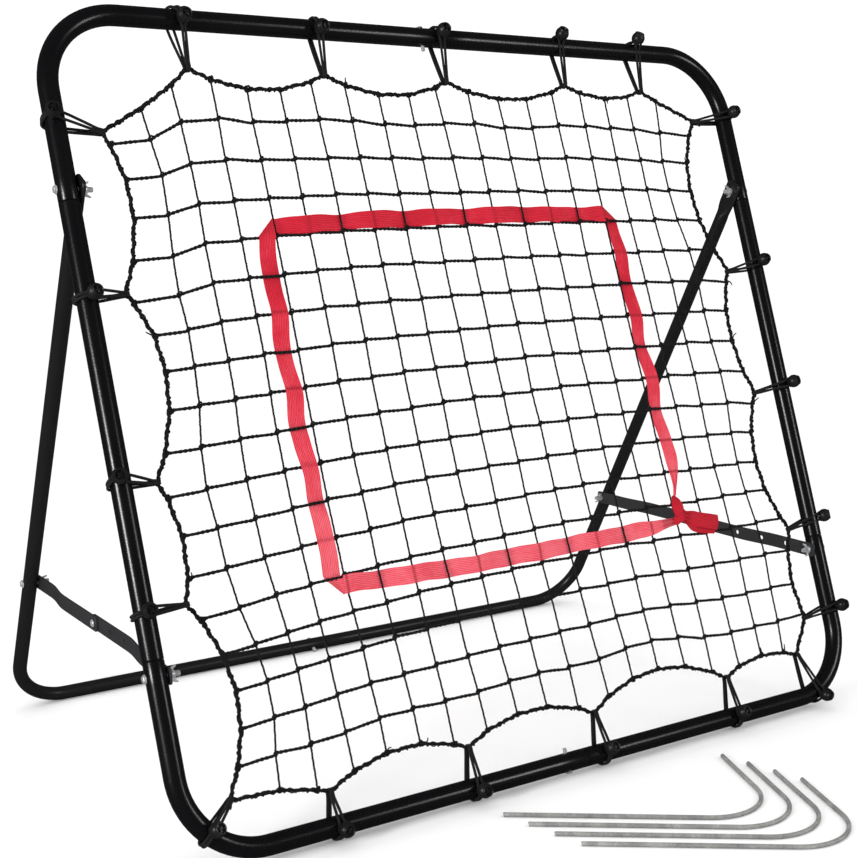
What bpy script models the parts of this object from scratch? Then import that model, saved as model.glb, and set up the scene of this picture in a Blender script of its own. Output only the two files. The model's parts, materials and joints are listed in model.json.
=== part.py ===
"""Pitch back rebounder: a leaning tube frame with a sprung ball-return net.

Metres, +Z up.  X runs across the front frame, Y runs back from the player's side,
and the origin is on the ground at the middle of the whole object's footprint.

Three local frames carry the parts:
  front_frame  x across, y up the leaning frame, z out of the net towards the player
  rear_frame   x across, y up the rear legs, z towards the player, origin on the pivot
  strut bars   x across, y along the bar, origin on the bolt that each bar turns on
"""

import bpy
import bmesh
from math import acos, atan2, cos, pi, radians, sin
from mathutils import Matrix, Vector

# ---------------------------------------------------------------- driving dimensions
GAP = 0.0003                    # left between neighbouring pieces
SIDES = 12                      # facets round every tube

LEAN = radians(20.4)            # front frame's lean back from upright
FRAME_WIDTH = 0.968             # between the side tubes' centre lines
FRAME_HEIGHT = 0.8945           # between the top and bottom tubes' centre lines
CORNER_RADIUS = 0.088
TUBE_R = 0.01125                # front tube, 22.5 mm over the coating
WALL = 0.0012
SPIGOT_LENGTH = 0.045           # reduced end that slides into the next tube
UPPER_SEAM = 0.686              # heights along the frame
LOWER_SEAM = 0.2075
MID_SEAM_X = 0.023
PIVOT_HEIGHT = 0.700
STRUT_HEIGHT = 0.191
JOINT_SCREW_X = -0.003

REAR_DISTANCE = 0.5855          # front bottom tube to rear floor bar
REAR_HALF_WIDTH = 0.472
REAR_TUBE_R = 0.009
REAR_WALL = 0.001
REAR_CORNER_RADIUS = 0.068
REAR_SEAM = 0.5285              # from the pivot, along the leg
REAR_BOLT = 0.537
REAR_SCREW_X = -0.022
FLAT_THICKNESS = 0.004          # pressed end of the leg
FLAT_WIDTH = 0.026
FLAT_END = 0.014                # pressed end beyond the pivot
FLAT_LENGTH = 0.018             # pressed end below the pivot
FLAT_TAPER = 0.024

BAR_WIDTH = 0.018               # strut flat bar
BAR_THICKNESS = 0.0025
BAR_PITCH = 0.0427              # between adjusting holes
BAR_HOLES = 5                   # the last one takes the middle bolt
BAR_SHIFT = 0.0064              # how far each bar is set sideways to meet the other

BOLT_R = 0.003                  # M6
HOLE_R = 0.0035
HEAD_R = 0.0050
HEAD_HEIGHT = 0.0033
SMALL_BOLT_R = 0.0025           # M5
SMALL_HOLE_R = 0.0030

CORD_R = 0.0022                 # bungee cord
CORD_CLEARANCE = 0.0006         # cord to tube
BALL_R = 0.0090
APEX_INSET = 0.0475             # usual distance from the tube's centre to the net end
NET_THICKNESS = 0.003
NET_GAP = 0.0010                # bungee's inner end to the net's edge
NET_SAG = 0.11                  # how far each edge scallop dips, as a share of its span
NET_BAND = 0.007
NET_COLUMNS = 10
NET_ROWS = 9
NET_CORD = 0.0036

TARGET_LEFT, TARGET_RIGHT = -0.267, 0.248     # centre lines of the ribbon's runs
TARGET_BOTTOM, TARGET_TOP = 0.252, 0.666
RIBBON_WIDTH = 0.020
RIBBON_THICKNESS = 0.0016
TAIL_LENGTH = 0.072

PEG_R = 0.0025
PEG_SIDES = 8
PEG_SHAFT = 0.226
PEG_BEND_R = 0.068
PEG_TURN = radians(103.5)
PEG_HOOK = 0.098
PEG_HEADING = radians(-35.7)
PEG_COUNT = 4
PEG_STEP = (0.0085, -0.0345)    # from one peg to the next
PEG_START = (-0.1335, -0.050)   # first peg's end, from the front tube's middle

# each bungee, with x along the top and bottom tubes and height along the side tubes:
# the loop's place along the tube, its net end's place and distance from the tube's centre
# line, the ball's place along the tube, and the degrees that the ball has rolled round
# the tube towards the net
TOP_BUNGEES = (
    (-0.3285, -0.3226, 0.0565, -0.3239, 9),
    (-0.1520, -0.1510, 0.0555, -0.1526, 13),
    (0.0175, 0.0200, 0.0565, 0.0187, -5),
    (0.2090, 0.2075, 0.0525, 0.2076, -31),
    (0.3360, 0.3380, 0.0555, 0.3409, -41),
)
BOTTOM_BUNGEES = (
    (-0.3180, -0.3166, 0.0375, -0.3153, -11),
    (-0.1380, -0.1350, 0.0460, -0.1369, -9),
    (0.0500, 0.0510, 0.0485, 0.0523, 14),
    (0.2720, 0.2720, 0.0500, 0.2712, 12),
)
LEFT_BUNGEES = (
    (0.7710, 0.7625, 0.0495, 0.7780, -17),
    (0.5840, 0.5870, 0.0435, 0.5855, 7),
    (0.3880, 0.3870, 0.0395, 0.3951, -18),
    (0.2540, 0.2580, 0.0465, 0.2570, -4),
)
RIGHT_BUNGEES = (
    (0.8050, 0.7990, 0.0595, 0.8079, -8),
    (0.5920, 0.5860, 0.0540, 0.5951, 3),
    (0.4210, 0.4145, 0.0525, 0.4217, -19),
    (0.2315, 0.2230, 0.0435, 0.2328, -38),
    (0.1095, 0.1015, 0.0495, 0.1087, -15),
)
# side of the frame, degrees up the bend from the bottom tube, the net end's distance,
# the ball's slip round the bend and its roll
CORNER_BUNGEES = {
    "left": (-1, 45.0, 0.0402, 0.0023, 13),
    "right": (1, 14.5, 0.0560, -0.0050, -20),
}

# ---------------------------------------------------------------- derived places
FACET = cos(pi / SIDES)
PEG_FACET = cos(pi / PEG_SIDES)
HALF_WIDTH = FRAME_WIDTH / 2
LOOP_R = TUBE_R + CORD_CLEARANCE + CORD_R
FRONT_Z = LOOP_R + CORD_R + 0.0005      # the bottom tube stands on its bungees' loops
REAR_Z = REAR_TUBE_R * FACET
REAR_REACH = 0.01116            # floor bar's centre to the back of its screw's head


def peg_low_point():
    """How far in front of the bottom tube the last peg's bend reaches."""
    start_y = PEG_START[1] + (PEG_COUNT - 1) * PEG_STEP[1]
    bend_start = start_y + PEG_SHAFT * sin(PEG_HEADING)
    return bend_start - PEG_BEND_R * (1 - cos(PEG_HEADING)) - PEG_R * PEG_FACET


FRONT_Y = -(REAR_DISTANCE + REAR_REACH + peg_low_point()) / 2

PIVOT = Vector((0, FRONT_Y + PIVOT_HEIGHT * sin(LEAN), FRONT_Z + PIVOT_HEIGHT * cos(LEAN)))
REAR_FOOT = Vector((0, FRONT_Y + REAR_DISTANCE, REAR_Z))
LEG = (PIVOT - REAR_FOOT).length
LEG_ANGLE = atan2(REAR_FOOT.y - PIVOT.y, PIVOT.z - REAR_FOOT.z)
FRONT_BOLT = Vector((0, FRONT_Y + STRUT_HEIGHT * sin(LEAN), FRONT_Z + STRUT_HEIGHT * cos(LEAN)))
LEG_DOWN = (REAR_FOOT - PIVOT).normalized()
STRUT_BOLT = PIVOT + LEG_DOWN * REAR_BOLT
STRUT_ANGLE = atan2(STRUT_BOLT.z - FRONT_BOLT.z, STRUT_BOLT.y - FRONT_BOLT.y)
FRONT_BAR = BAR_HOLES * BAR_PITCH
REAR_BAR = (STRUT_BOLT - FRONT_BOLT).length - FRONT_BAR

TUBE_INNER_FACE = HALF_WIDTH - TUBE_R
LEG_INNER_FACE = REAR_HALF_WIDTH - REAR_TUBE_R
FLAT_CENTRE = TUBE_INNER_FACE - GAP - FLAT_THICKNESS / 2
NET_EDGE = APEX_INSET + CORD_R + NET_GAP

# colour, roughness, metallic
FINISH = {
    "black_powder_coat": ((0.018, 0.018, 0.020), 0.38, 0.0),
    "grey_powder_coat": ((0.040, 0.040, 0.043), 0.45, 0.0),
    "zinc_plated_steel": ((0.62, 0.62, 0.60), 0.32, 1.0),
    "galvanised_steel": ((0.42, 0.42, 0.41), 0.45, 1.0),
    "black_net_twine": ((0.014, 0.014, 0.015), 0.85, 0.0),
    "red_webbing": ((0.72, 0.035, 0.060), 0.75, 0.0),
    "black_ball_bungee": ((0.012, 0.012, 0.013), 0.45, 0.0),
}


# ---------------------------------------------------------------- scene and materials
def clear_scene():
    for obj in list(bpy.data.objects):
        bpy.data.objects.remove(obj, do_unlink=True)


def make_material(name, finish):
    colour, roughness, metallic = FINISH[finish]
    material = bpy.data.materials.new(name)
    material.use_nodes = True
    shader = material.node_tree.nodes["Principled BSDF"]
    shader.inputs["Base Color"].default_value = (*colour, 1)
    shader.inputs["Roughness"].default_value = roughness
    shader.inputs["Metallic"].default_value = metallic
    return material


def add_object(name, bm, finish, parent=None):
    bmesh.ops.recalc_face_normals(bm, faces=bm.faces)
    mesh = bpy.data.meshes.new(name)
    bm.to_mesh(mesh)
    bm.free()
    mesh.shade_smooth()
    mesh.set_sharp_from_angle(angle=radians(35))
    obj = bpy.data.objects.new(name, mesh)
    bpy.context.collection.objects.link(obj)
    obj.parent = parent
    mesh.materials.append(make_material(name, finish))
    return obj


def add_empty(name, location, angle):
    """A frame turned by angle about X, with its origin at location."""
    empty = bpy.data.objects.new(name, None)
    bpy.context.collection.objects.link(empty)
    empty.location = location
    empty.rotation_euler = (angle, 0, 0)
    return empty


def add_boolean(obj, tool, operation):
    tool.hide_render = True
    tool.display_type = "WIRE"
    modifier = obj.modifiers.new(tool.name, "BOOLEAN")
    modifier.operation = operation
    modifier.solver = "EXACT"
    modifier.object = tool
    return modifier


# ---------------------------------------------------------------- shape helpers
def join_rings(bm, rings, cap_start=True, cap_end=True):
    """Skin a list of vertex rings of equal length."""
    for first, second in zip(rings, rings[1:]):
        count = len(first)
        for i in range(count):
            j = (i + 1) % count
            bm.faces.new((first[i], first[j], second[j], second[i]))
    if cap_start:
        bm.faces.new(rings[0][::-1])
    if cap_end:
        bm.faces.new(rings[-1])


def tube_ring(bm, station, radius, phase):
    """A ring round one station: its centre and the outward direction in the x-y plane."""
    centre, outward = station
    ring = []
    for i in range(SIDES):
        a = phase + 2 * pi * i / SIDES
        offset = outward * (radius * cos(a))
        ring.append(bm.verts.new((centre.x + offset.x, centre.y + offset.y, radius * sin(a))))
    return ring


def hollow_tube(outer, inner, phase):
    """An open-ended tube from its outer and inner lists of (station, radius)."""
    bm = bmesh.new()
    outside = [tube_ring(bm, station, radius, phase) for station, radius in outer]
    inside = [tube_ring(bm, station, radius, phase) for station, radius in inner]
    join_rings(bm, outside, False, False)
    join_rings(bm, inside, False, False)
    join_rings(bm, [outside[0], inside[0]], False, False)
    join_rings(bm, [outside[-1], inside[-1]], False, False)
    return bm


def corner_stations(side, up, centre, bend_radius, arm_x, arm_y, steps=6):
    """An L: along x from arm_x, round a quarter turn, then along y to arm_y."""
    stations = [(Vector((arm_x, centre.y + up * bend_radius)), Vector((0, up)))]
    for i in range(steps + 1):
        a = pi / 2 * i / steps
        outward = Vector((side * sin(a), up * cos(a)))
        stations.append((centre + outward * bend_radius, outward))
    stations.append((Vector((centre.x + side * bend_radius, arm_y)), Vector((side, 0))))
    return stations


def moved(station, dx=0.0, dy=0.0):
    centre, outward = station
    return centre + Vector((dx, dy)), outward


def with_spigot(stations, radius, wall, direction):
    """Outer and inner (station, radius) lists, the last end drawn down to a spigot."""
    step = Vector(direction)
    slim = radius - wall - GAP - 0.0001
    end = stations[-1]
    outer = [(s, radius) for s in stations]
    outer.append((moved(end, *(step * 0.0002)), slim))
    outer.append((moved(end, *(step * SPIGOT_LENGTH)), slim))
    inner = [(s, radius - wall) for s in stations[:-1]]
    inner.append((moved(end, *(step * -0.004)), radius - wall))
    inner.append((moved(end, *(step * -0.002)), slim - wall))
    inner.append((moved(end, *(step * SPIGOT_LENGTH)), slim - wall))
    return outer, inner


def cylinder_tool(name, radius, start, end, parent, sides=10):
    """A cutter between two points."""
    axis = Vector(end) - Vector(start)
    turn = axis.to_track_quat("Z", "Y").to_matrix().to_4x4()
    place = Matrix.Translation((Vector(start) + Vector(end)) / 2) @ turn
    bm = bmesh.new()
    bmesh.ops.create_cone(bm, cap_ends=True, segments=sides, radius1=radius, radius2=radius,
                          depth=axis.length, matrix=place)
    return add_object(name, bm, "zinc_plated_steel", parent)


def drill(obj, name, radius, start, end):
    add_boolean(obj, cylinder_tool(name, radius, start, end, obj.parent), "DIFFERENCE")


def lathe_x(bm, profile, sides, x_sign, centre=(0, 0)):
    """Rings about an X axis; profile is a list of (x, radius), x grows towards x_sign."""
    rings = []
    for x, radius in profile:
        ring = []
        for i in range(sides):
            a = 2 * pi * i / sides
            point = (x_sign * x, centre[0] + radius * cos(a), centre[1] + radius * sin(a))
            ring.append(bm.verts.new(point))
        rings.append(ring)
    join_rings(bm, rings)


# ---------------------------------------------------------------- front frame
def front_tubes(frame):
    phase = pi / SIDES - LEAN
    for side, label in ((-1, "left"), (1, "right")):
        for up, end in ((1, "top"), (-1, "bottom")):
            edge = FRAME_HEIGHT if up > 0 else 0.0
            seam_y = UPPER_SEAM if up > 0 else LOWER_SEAM
            centre = Vector((side * (HALF_WIDTH - CORNER_RADIUS), edge - up * CORNER_RADIUS))
            arm_x = MID_SEAM_X + (GAP if side < 0 else 0.0) * side
            stations = corner_stations(side, up, centre, CORNER_RADIUS, arm_x, seam_y + up * GAP)
            if side > 0:
                outer, inner = with_spigot(stations[::-1], TUBE_R, WALL, (-1, 0))
            else:
                outer = [(s, TUBE_R) for s in stations]
                inner = [(s, TUBE_R - WALL) for s in stations]
            tube = add_object(f"front_{end}_{label}_tube", hollow_tube(outer, inner, phase),
                              "black_powder_coat", frame)
            height = PIVOT_HEIGHT if up > 0 else STRUT_HEIGHT
            drill(tube, f"{end}_{label}_bore", HOLE_R, (side * (HALF_WIDTH + 0.02), height, 0),
                  (side * (HALF_WIDTH - 0.02), height, 0))
            drill(tube, f"{end}_{label}_screw_bore", SMALL_HOLE_R,
                  (JOINT_SCREW_X, edge - 0.02, 0), (JOINT_SCREW_X, edge + 0.02, 0))


def side_tubes(frame):
    """The straight side tubes, with a spigot at each end."""
    phase = pi / SIDES - LEAN
    slim = TUBE_R - WALL - GAP - 0.0001
    profile = ((LOWER_SEAM - SPIGOT_LENGTH, slim), (LOWER_SEAM, slim), (LOWER_SEAM + 0.0002, TUBE_R),
               (UPPER_SEAM - 0.0002, TUBE_R), (UPPER_SEAM, slim), (UPPER_SEAM + SPIGOT_LENGTH, slim))
    bore = ((LOWER_SEAM - SPIGOT_LENGTH, slim - WALL), (LOWER_SEAM + 0.002, slim - WALL),
            (LOWER_SEAM + 0.004, TUBE_R - WALL), (UPPER_SEAM - 0.004, TUBE_R - WALL),
            (UPPER_SEAM - 0.002, slim - WALL), (UPPER_SEAM + SPIGOT_LENGTH, slim - WALL))
    for side, label in ((-1, "left"), (1, "right")):
        outward = Vector((side, 0))
        x = side * HALF_WIDTH
        outer = [((Vector((x, y)), outward), radius) for y, radius in profile]
        inner = [((Vector((x, y)), outward), radius) for y, radius in bore]
        tube = add_object(f"front_{label}_side_tube", hollow_tube(outer, inner, phase),
                          "black_powder_coat", frame)
        for height, end in ((PIVOT_HEIGHT, "upper"), (STRUT_HEIGHT, "lower")):
            drill(tube, f"{label}_{end}_spigot_bore", HOLE_R, (x - 0.02, height, 0),
                  (x + 0.02, height, 0))


# ---------------------------------------------------------------- rear frame
def leg_ring(bm, x, y, half_thick, half_wide, squareness, phase):
    """A leg section; squareness 0 is round, 1 is the pressed flat shape."""
    ring = []
    for i in range(SIDES):
        a = phase + 2 * pi * i / SIDES
        c = cos(a) * (1 + 1.6 * squareness)
        c = max(-1.0, min(1.0, c))
        ring.append(bm.verts.new((x + half_thick * c, y, half_wide * sin(a))))
    return ring


def rear_legs(frame):
    phase = pi / SIDES + LEG_ANGLE
    flat = (FLAT_THICKNESS / 2, FLAT_WIDTH / 2)
    for side, label in ((-1, "left"), (1, "right")):
        x_tube = side * REAR_HALF_WIDTH
        x_flat = side * FLAT_CENTRE
        outer = ((x_tube, -REAR_SEAM + GAP, REAR_TUBE_R, REAR_TUBE_R, 0),
                 (x_tube, -FLAT_LENGTH - FLAT_TAPER, REAR_TUBE_R, REAR_TUBE_R, 0),
                 (x_flat, -FLAT_LENGTH, *flat, 1),
                 (x_flat, FLAT_END - 0.005, *flat, 1),
                 (x_flat, FLAT_END, flat[0], flat[1] - 0.005, 1))
        hollow = REAR_TUBE_R - REAR_WALL
        inner = ((x_tube, -REAR_SEAM + GAP, hollow, hollow, 0),
                 (x_tube, -FLAT_LENGTH - FLAT_TAPER, hollow, hollow, 0))
        bm = bmesh.new()
        outside = [leg_ring(bm, *section, phase) for section in outer]
        inside = [leg_ring(bm, *section, phase) for section in inner]
        join_rings(bm, outside, False, True)
        join_rings(bm, inside, False, True)
        join_rings(bm, [outside[0], inside[0]], False, False)
        leg = add_object(f"rear_{label}_leg_tube", bm, "black_powder_coat", frame)
        drill(leg, f"rear_{label}_pivot_bore", HOLE_R, (x_flat - 0.02, 0, 0), (x_flat + 0.02, 0, 0))


def rear_corners(frame):
    """The lower L-shaped tubes, which slide up into the legs and meet at the floor bar."""
    phase = pi / SIDES + LEG_ANGLE
    for side, label in ((-1, "left"), (1, "right")):
        centre = Vector((side * (REAR_HALF_WIDTH - REAR_CORNER_RADIUS), -LEG + REAR_CORNER_RADIUS))
        arm_x = GAP * side if side < 0 else 0.0
        stations = corner_stations(side, -1, centre, REAR_CORNER_RADIUS, arm_x, -REAR_SEAM)
        outer, inner = with_spigot(stations, REAR_TUBE_R, REAR_WALL, (0, 1))
        if side > 0:
            both = with_spigot([stations[1], stations[0]], REAR_TUBE_R, REAR_WALL, (-1, 0))
            outer = both[0][:0:-1] + outer[1:]
            inner = both[1][:0:-1] + inner[1:]
        tube = add_object(f"rear_{label}_corner_tube", hollow_tube(outer, inner, phase),
                          "black_powder_coat", frame)
        x = side * REAR_HALF_WIDTH
        drill(tube, f"rear_{label}_strut_bore", HOLE_R, (x - 0.02, -REAR_BOLT, 0),
              (x + 0.02, -REAR_BOLT, 0))
        drill(tube, f"rear_{label}_screw_bore", SMALL_HOLE_R, (REAR_SCREW_X, -LEG, -0.02),
              (REAR_SCREW_X, -LEG, 0.02))


# ---------------------------------------------------------------- strut bars
def bar_ends(length):
    """(y, half width) round the near end and round the far end of a bar from 0 to length."""
    r = BAR_WIDTH / 2
    way = 1 if length > 0 else -1
    nose = [(cos(a), sin(a)) for a in (radians(20), radians(45), radians(70))]
    near = [(-way * r * along, r * wide) for along, wide in nose]
    far = [(length + way * r * along, r * wide) for along, wide in nose[::-1]]
    return near, far


def flat_bar(name, length, face_start, face_end, bend_start, bend_end, side, finish, frame):
    """A bar along y whose outer face goes from face_start to face_end between two places."""
    near, far = bar_ends(length)
    stations = near + [(0.0, BAR_WIDTH / 2)]
    for y in (bend_start, (bend_start + bend_end) / 2, bend_end):
        stations.append((y, BAR_WIDTH / 2))
    stations += [(length, BAR_WIDTH / 2)] + far
    bm = bmesh.new()
    rings = []
    for y, half in stations:
        share = min(1.0, max(0.0, (y - bend_start) / (bend_end - bend_start)))
        face = face_start + (face_end - face_start) * share
        corners = ((face, half), (face - BAR_THICKNESS, half), (face - BAR_THICKNESS, -half),
                   (face, -half))
        rings.append([bm.verts.new((side * x, y, z)) for x, z in corners])
    join_rings(bm, rings)
    return add_object(name, bm, finish, frame)


def strut_bars():
    tube_side = TUBE_INNER_FACE - GAP
    leg_side = LEG_INNER_FACE - GAP
    rear_meet = leg_side + BAR_SHIFT
    front_meet = rear_meet - BAR_THICKNESS - GAP
    for side, label in ((-1, "left"), (1, "right")):
        front_pivot = add_empty(f"{label}_front_strut_pivot", FRONT_BOLT, STRUT_ANGLE)
        rear_pivot = add_empty(f"{label}_rear_strut_pivot", STRUT_BOLT, STRUT_ANGLE)
        front = flat_bar(f"{label}_front_strut", FRONT_BAR, tube_side, front_meet, 0.06, 0.12,
                         side, "grey_powder_coat", front_pivot)
        rear = flat_bar(f"{label}_rear_strut", -REAR_BAR, leg_side, rear_meet, -0.05, -0.11,
                        side, "grey_powder_coat", rear_pivot)
        x = side * LEG_INNER_FACE
        drill(front, f"{label}_front_bolt_hole", HOLE_R, (x - 0.03, 0, 0), (x + 0.03, 0, 0))
        for i in range(1, BAR_HOLES + 1):
            y = i * BAR_PITCH
            drill(front, f"{label}_hole_{i}", SMALL_HOLE_R, (x - 0.03, y, 0), (x + 0.03, y, 0))
        drill(rear, f"{label}_rear_bolt_hole", HOLE_R, (x - 0.03, 0, 0), (x + 0.03, 0, 0))
        drill(rear, f"{label}_middle_hole", SMALL_HOLE_R, (x - 0.03, -REAR_BAR, 0),
              (x + 0.03, -REAR_BAR, 0))
        middle_fastener(label, side, front_pivot, rear_pivot, rear_meet, front_meet)


def middle_fastener(label, side, front_pivot, rear_pivot, rear_face, front_face):
    """The bolt's head turns with the rear bar, its nut with the front bar.

    The shank is divided where the two bars meet, so each half stays in its own bar.
    """
    head = bmesh.new()
    inner = rear_face - BAR_THICKNESS
    lathe_x(head, [(inner, SMALL_BOLT_R), (rear_face + GAP, SMALL_BOLT_R), (rear_face + GAP, 0.0045),
                   (rear_face + 0.0016, 0.0042), (rear_face + 0.0026, 0.0025)], 10, side,
            (-REAR_BAR, 0))
    add_object(f"{label}_strut_bolt", head, "zinc_plated_steel", rear_pivot)
    nut = bmesh.new()
    back = front_face - BAR_THICKNESS
    lathe_x(nut, [(front_face, SMALL_BOLT_R), (back - GAP, SMALL_BOLT_R), (back - GAP, 0.0046),
                  (back - 0.0043, 0.0046), (back - 0.0043, SMALL_BOLT_R), (back - 0.0065, 0.0022)],
            6, side, (FRONT_BAR, 0))
    add_object(f"{label}_strut_nut", nut, "zinc_plated_steel", front_pivot)


# ---------------------------------------------------------------- bolts and wing nuts
def through_bolt(name, side, outer_face, tip, place, frame):
    """A bolt along X: its head outside outer_face and its shank in to tip."""
    bm = bmesh.new()
    seat = outer_face + GAP
    lathe_x(bm, [(tip, BOLT_R - 0.0006), (tip + 0.001, BOLT_R), (seat, BOLT_R), (seat, HEAD_R),
                 (seat + HEAD_HEIGHT - 0.0015, HEAD_R), (seat + HEAD_HEIGHT, HEAD_R * 0.6)],
            10, side, place)
    return add_object(name, bm, "zinc_plated_steel", frame)


def wing_nut(name, side, face, frame, place):
    """A boss with two raised wings, seated on the face at |x| = face, with its axis on x.

    The object's origin is on the bolt's axis, so the nut turns about its own X.
    """
    bm = bmesh.new()
    rings = []
    for x, radius in ((0, 0.0049), (0.003, 0.0049), (0.0055, 0.0043)):
        rings.append([(x, radius * cos(2 * pi * i / 10), radius * sin(2 * pi * i / 10))
                      for i in range(10)])
    verts = [[bm.verts.new((-side * x, y, z)) for x, y, z in ring] for ring in rings]
    bore = [[bm.verts.new((-side * x, (BOLT_R + GAP + 0.0002) * cos(2 * pi * i / 10),
                           (BOLT_R + GAP + 0.0002) * sin(2 * pi * i / 10))) for i in range(10)]
            for x in (0, 0.0055)]
    join_rings(bm, verts, False, False)
    join_rings(bm, bore, False, False)
    join_rings(bm, [verts[0], bore[0]], False, False)
    join_rings(bm, [verts[-1], bore[-1]], False, False)
    nut = add_object(name, bm, "zinc_plated_steel", frame)
    nut.location = (side * (face - GAP), place[0], place[1])
    wing = bmesh.new()
    for direction in (-1, 1):
        section = ((0.0038, 0.0008), (0.0058, 0.0008), (0.0084, 0.0040), (0.0089, 0.0078),
                   (0.0072, 0.0089), (0.0056, 0.0058), (0.0038, 0.0040))
        faces = []
        for z in (-0.0008, 0.0008):
            faces.append([wing.verts.new((-side * x, direction * y, z)) for y, x in section])
        join_rings(wing, faces)
    tool = add_object(f"{name}_wings", wing, "zinc_plated_steel", nut)
    add_boolean(nut, tool, "UNION")
    return nut


def fasteners(front, rear):
    outer = HALF_WIDTH + TUBE_R
    flat_inside = FLAT_CENTRE - FLAT_THICKNESS / 2
    front_bar_inside = TUBE_INNER_FACE - GAP - BAR_THICKNESS
    rear_bar_inside = LEG_INNER_FACE - GAP - BAR_THICKNESS
    for side, label in ((-1, "left"), (1, "right")):
        through_bolt(f"{label}_pivot_bolt", side, outer, flat_inside - 0.012,
                     (PIVOT_HEIGHT, 0), front)
        wing_nut(f"{label}_pivot_wing_nut", side, flat_inside, front, (PIVOT_HEIGHT, 0))
        through_bolt(f"{label}_front_strut_bolt", side, outer, front_bar_inside - 0.012,
                     (STRUT_HEIGHT, 0), front)
        wing_nut(f"{label}_front_strut_wing_nut", side, front_bar_inside, front,
                 (STRUT_HEIGHT, 0))
        through_bolt(f"{label}_rear_strut_bolt", side, REAR_HALF_WIDTH + REAR_TUBE_R,
                     rear_bar_inside - 0.012, (-REAR_BOLT, 0), rear)
        wing_nut(f"{label}_rear_strut_wing_nut", side, rear_bar_inside, rear, (-REAR_BOLT, 0))


def joint_screws(front, rear):
    """Screws through the sleeved joints: a domed head on one side, the tip on the other."""
    for name, frame, place, radius, turn in (
            ("top_joint_screw", front, (JOINT_SCREW_X, FRAME_HEIGHT, 0), TUBE_R, pi / 2),
            ("bottom_joint_screw", front, (JOINT_SCREW_X, 0, 0), TUBE_R, -pi / 2),
            ("rear_joint_screw", rear, (REAR_SCREW_X, -LEG, 0), REAR_TUBE_R, 0.0)):
        tip = radius + 0.006
        head = -(radius + GAP)
        profile = [(tip, 0.0012), (tip - 0.0015, SMALL_BOLT_R), (head, SMALL_BOLT_R),
                   (head, 0.0045), (head - 0.0012, 0.0042), (head - 0.0021, 0.0022)]
        bm = bmesh.new()
        rings = []
        for along, r in profile:
            rings.append([bm.verts.new((r * cos(2 * pi * i / 10), r * sin(2 * pi * i / 10), along))
                          for i in range(10)])
        join_rings(bm, rings)
        screw = add_object(name, bm, "zinc_plated_steel", frame)
        screw.location = place
        screw.rotation_euler = (turn, 0, 0)


# ---------------------------------------------------------------- ball bungees
def loop_points(reach, steps=8):
    """The cord's route round a tube and in to the net, in (inward, out of net) axes."""
    tangent = acos(LOOP_R / (reach + CORD_R))
    shoulder = reach - 0.7 * CORD_R
    points = [(shoulder, CORD_R + 0.0004), (reach, 0.0), (shoulder, -CORD_R - 0.0004)]
    sweep = 2 * pi - 2 * tangent
    corner_r = LOOP_R / cos(sweep / steps / 2)
    for i in range(steps + 1):
        a = -tangent - sweep * i / steps
        points.append((corner_r * cos(a), corner_r * sin(a)))
    return points


def bungee(name, anchor, across, apex, seat, roll, frame):
    """A closed loop of cord from apex round the tube at anchor, with its ball on the tube.

    across is the way over the tube towards the net, and seat is the ball's place on the
    tube's centre line.
    """
    inward = apex - anchor
    points = loop_points(inward.length)
    bm = bmesh.new()
    rings = []
    count = len(points)
    for i, point in enumerate(points):
        before, after = Vector(points[i - 1]), Vector(points[(i + 1) % count])
        here = Vector(point)
        turn = (after - here).normalized() - (before - here).normalized()
        normal = Vector((-turn.y, turn.x)).normalized()
        ring = []
        for k in range(5):
            a = 2 * pi * k / 5
            u = here + normal * (CORD_R * cos(a))
            ring.append(bm.verts.new((u.x, CORD_R * sin(a), u.y)))
        rings.append(ring)
    join_rings(bm, rings + [rings[0]], False, False)
    cord = add_object(name, bm, "black_ball_bungee", frame)
    angle = atan2(inward.y, inward.x)
    cord.location = (anchor.x, anchor.y, 0)
    cord.rotation_euler = (0, 0, angle)
    ball = bmesh.new()
    bmesh.ops.create_uvsphere(ball, u_segments=8, v_segments=6, radius=BALL_R)
    rise = TUBE_R + GAP + BALL_R
    offset = seat + across * (rise * sin(roll)) - anchor
    centre = Vector((offset.x, offset.y, rise * cos(roll)))
    centre.rotate(Matrix.Rotation(-angle, 3, "Z"))
    bmesh.ops.translate(ball, verts=ball.verts, vec=centre)
    tool = add_object(f"{name}_ball", ball, "black_ball_bungee", cord)
    add_boolean(cord, tool, "UNION")


def bungee_places():
    """Each bungee's name, anchor, way over the tube, net end, ball's seat and roll."""
    places = []
    for row, bungees, height, up in (("top", TOP_BUNGEES, FRAME_HEIGHT, -1),
                                     ("bottom", BOTTOM_BUNGEES, 0.0, 1)):
        for i, (x, end_x, reach, ball_x, roll) in enumerate(bungees, start=1):
            end = (end_x, height + up * reach)
            places.append((f"{row}_{i}", (x, height), (0, up), end, (ball_x, height), roll))
    for row, bungees, side in (("left", LEFT_BUNGEES, -1), ("right", RIGHT_BUNGEES, 1)):
        x = side * HALF_WIDTH
        for i, (y, end_y, reach, ball_y, roll) in enumerate(bungees, start=1):
            end = (x - side * reach, end_y)
            places.append((f"{row}_{i}", (x, y), (-side, 0), end, (x, ball_y), roll))
    for label, (side, degrees, reach, slip, roll) in CORNER_BUNGEES.items():
        turn = radians(degrees)
        outward = Vector((side * sin(turn), -cos(turn)))
        middle = Vector((side * (HALF_WIDTH - CORNER_RADIUS), CORNER_RADIUS))
        anchor = middle + outward * CORNER_RADIUS
        along = Vector((outward.y, -outward.x))
        places.append((f"corner_{label}", anchor, -outward, anchor - outward * reach,
                       anchor + along * slip, roll))
    return [(name, Vector(anchor), Vector(across), Vector(end), Vector(seat), radians(roll))
            for name, anchor, across, end, seat, roll in places]


def ball_bungees(frame):
    for name, anchor, across, end, seat, roll in bungee_places():
        bungee(f"ball_bungee_{name}", anchor, across, end, seat, roll, frame)


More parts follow.
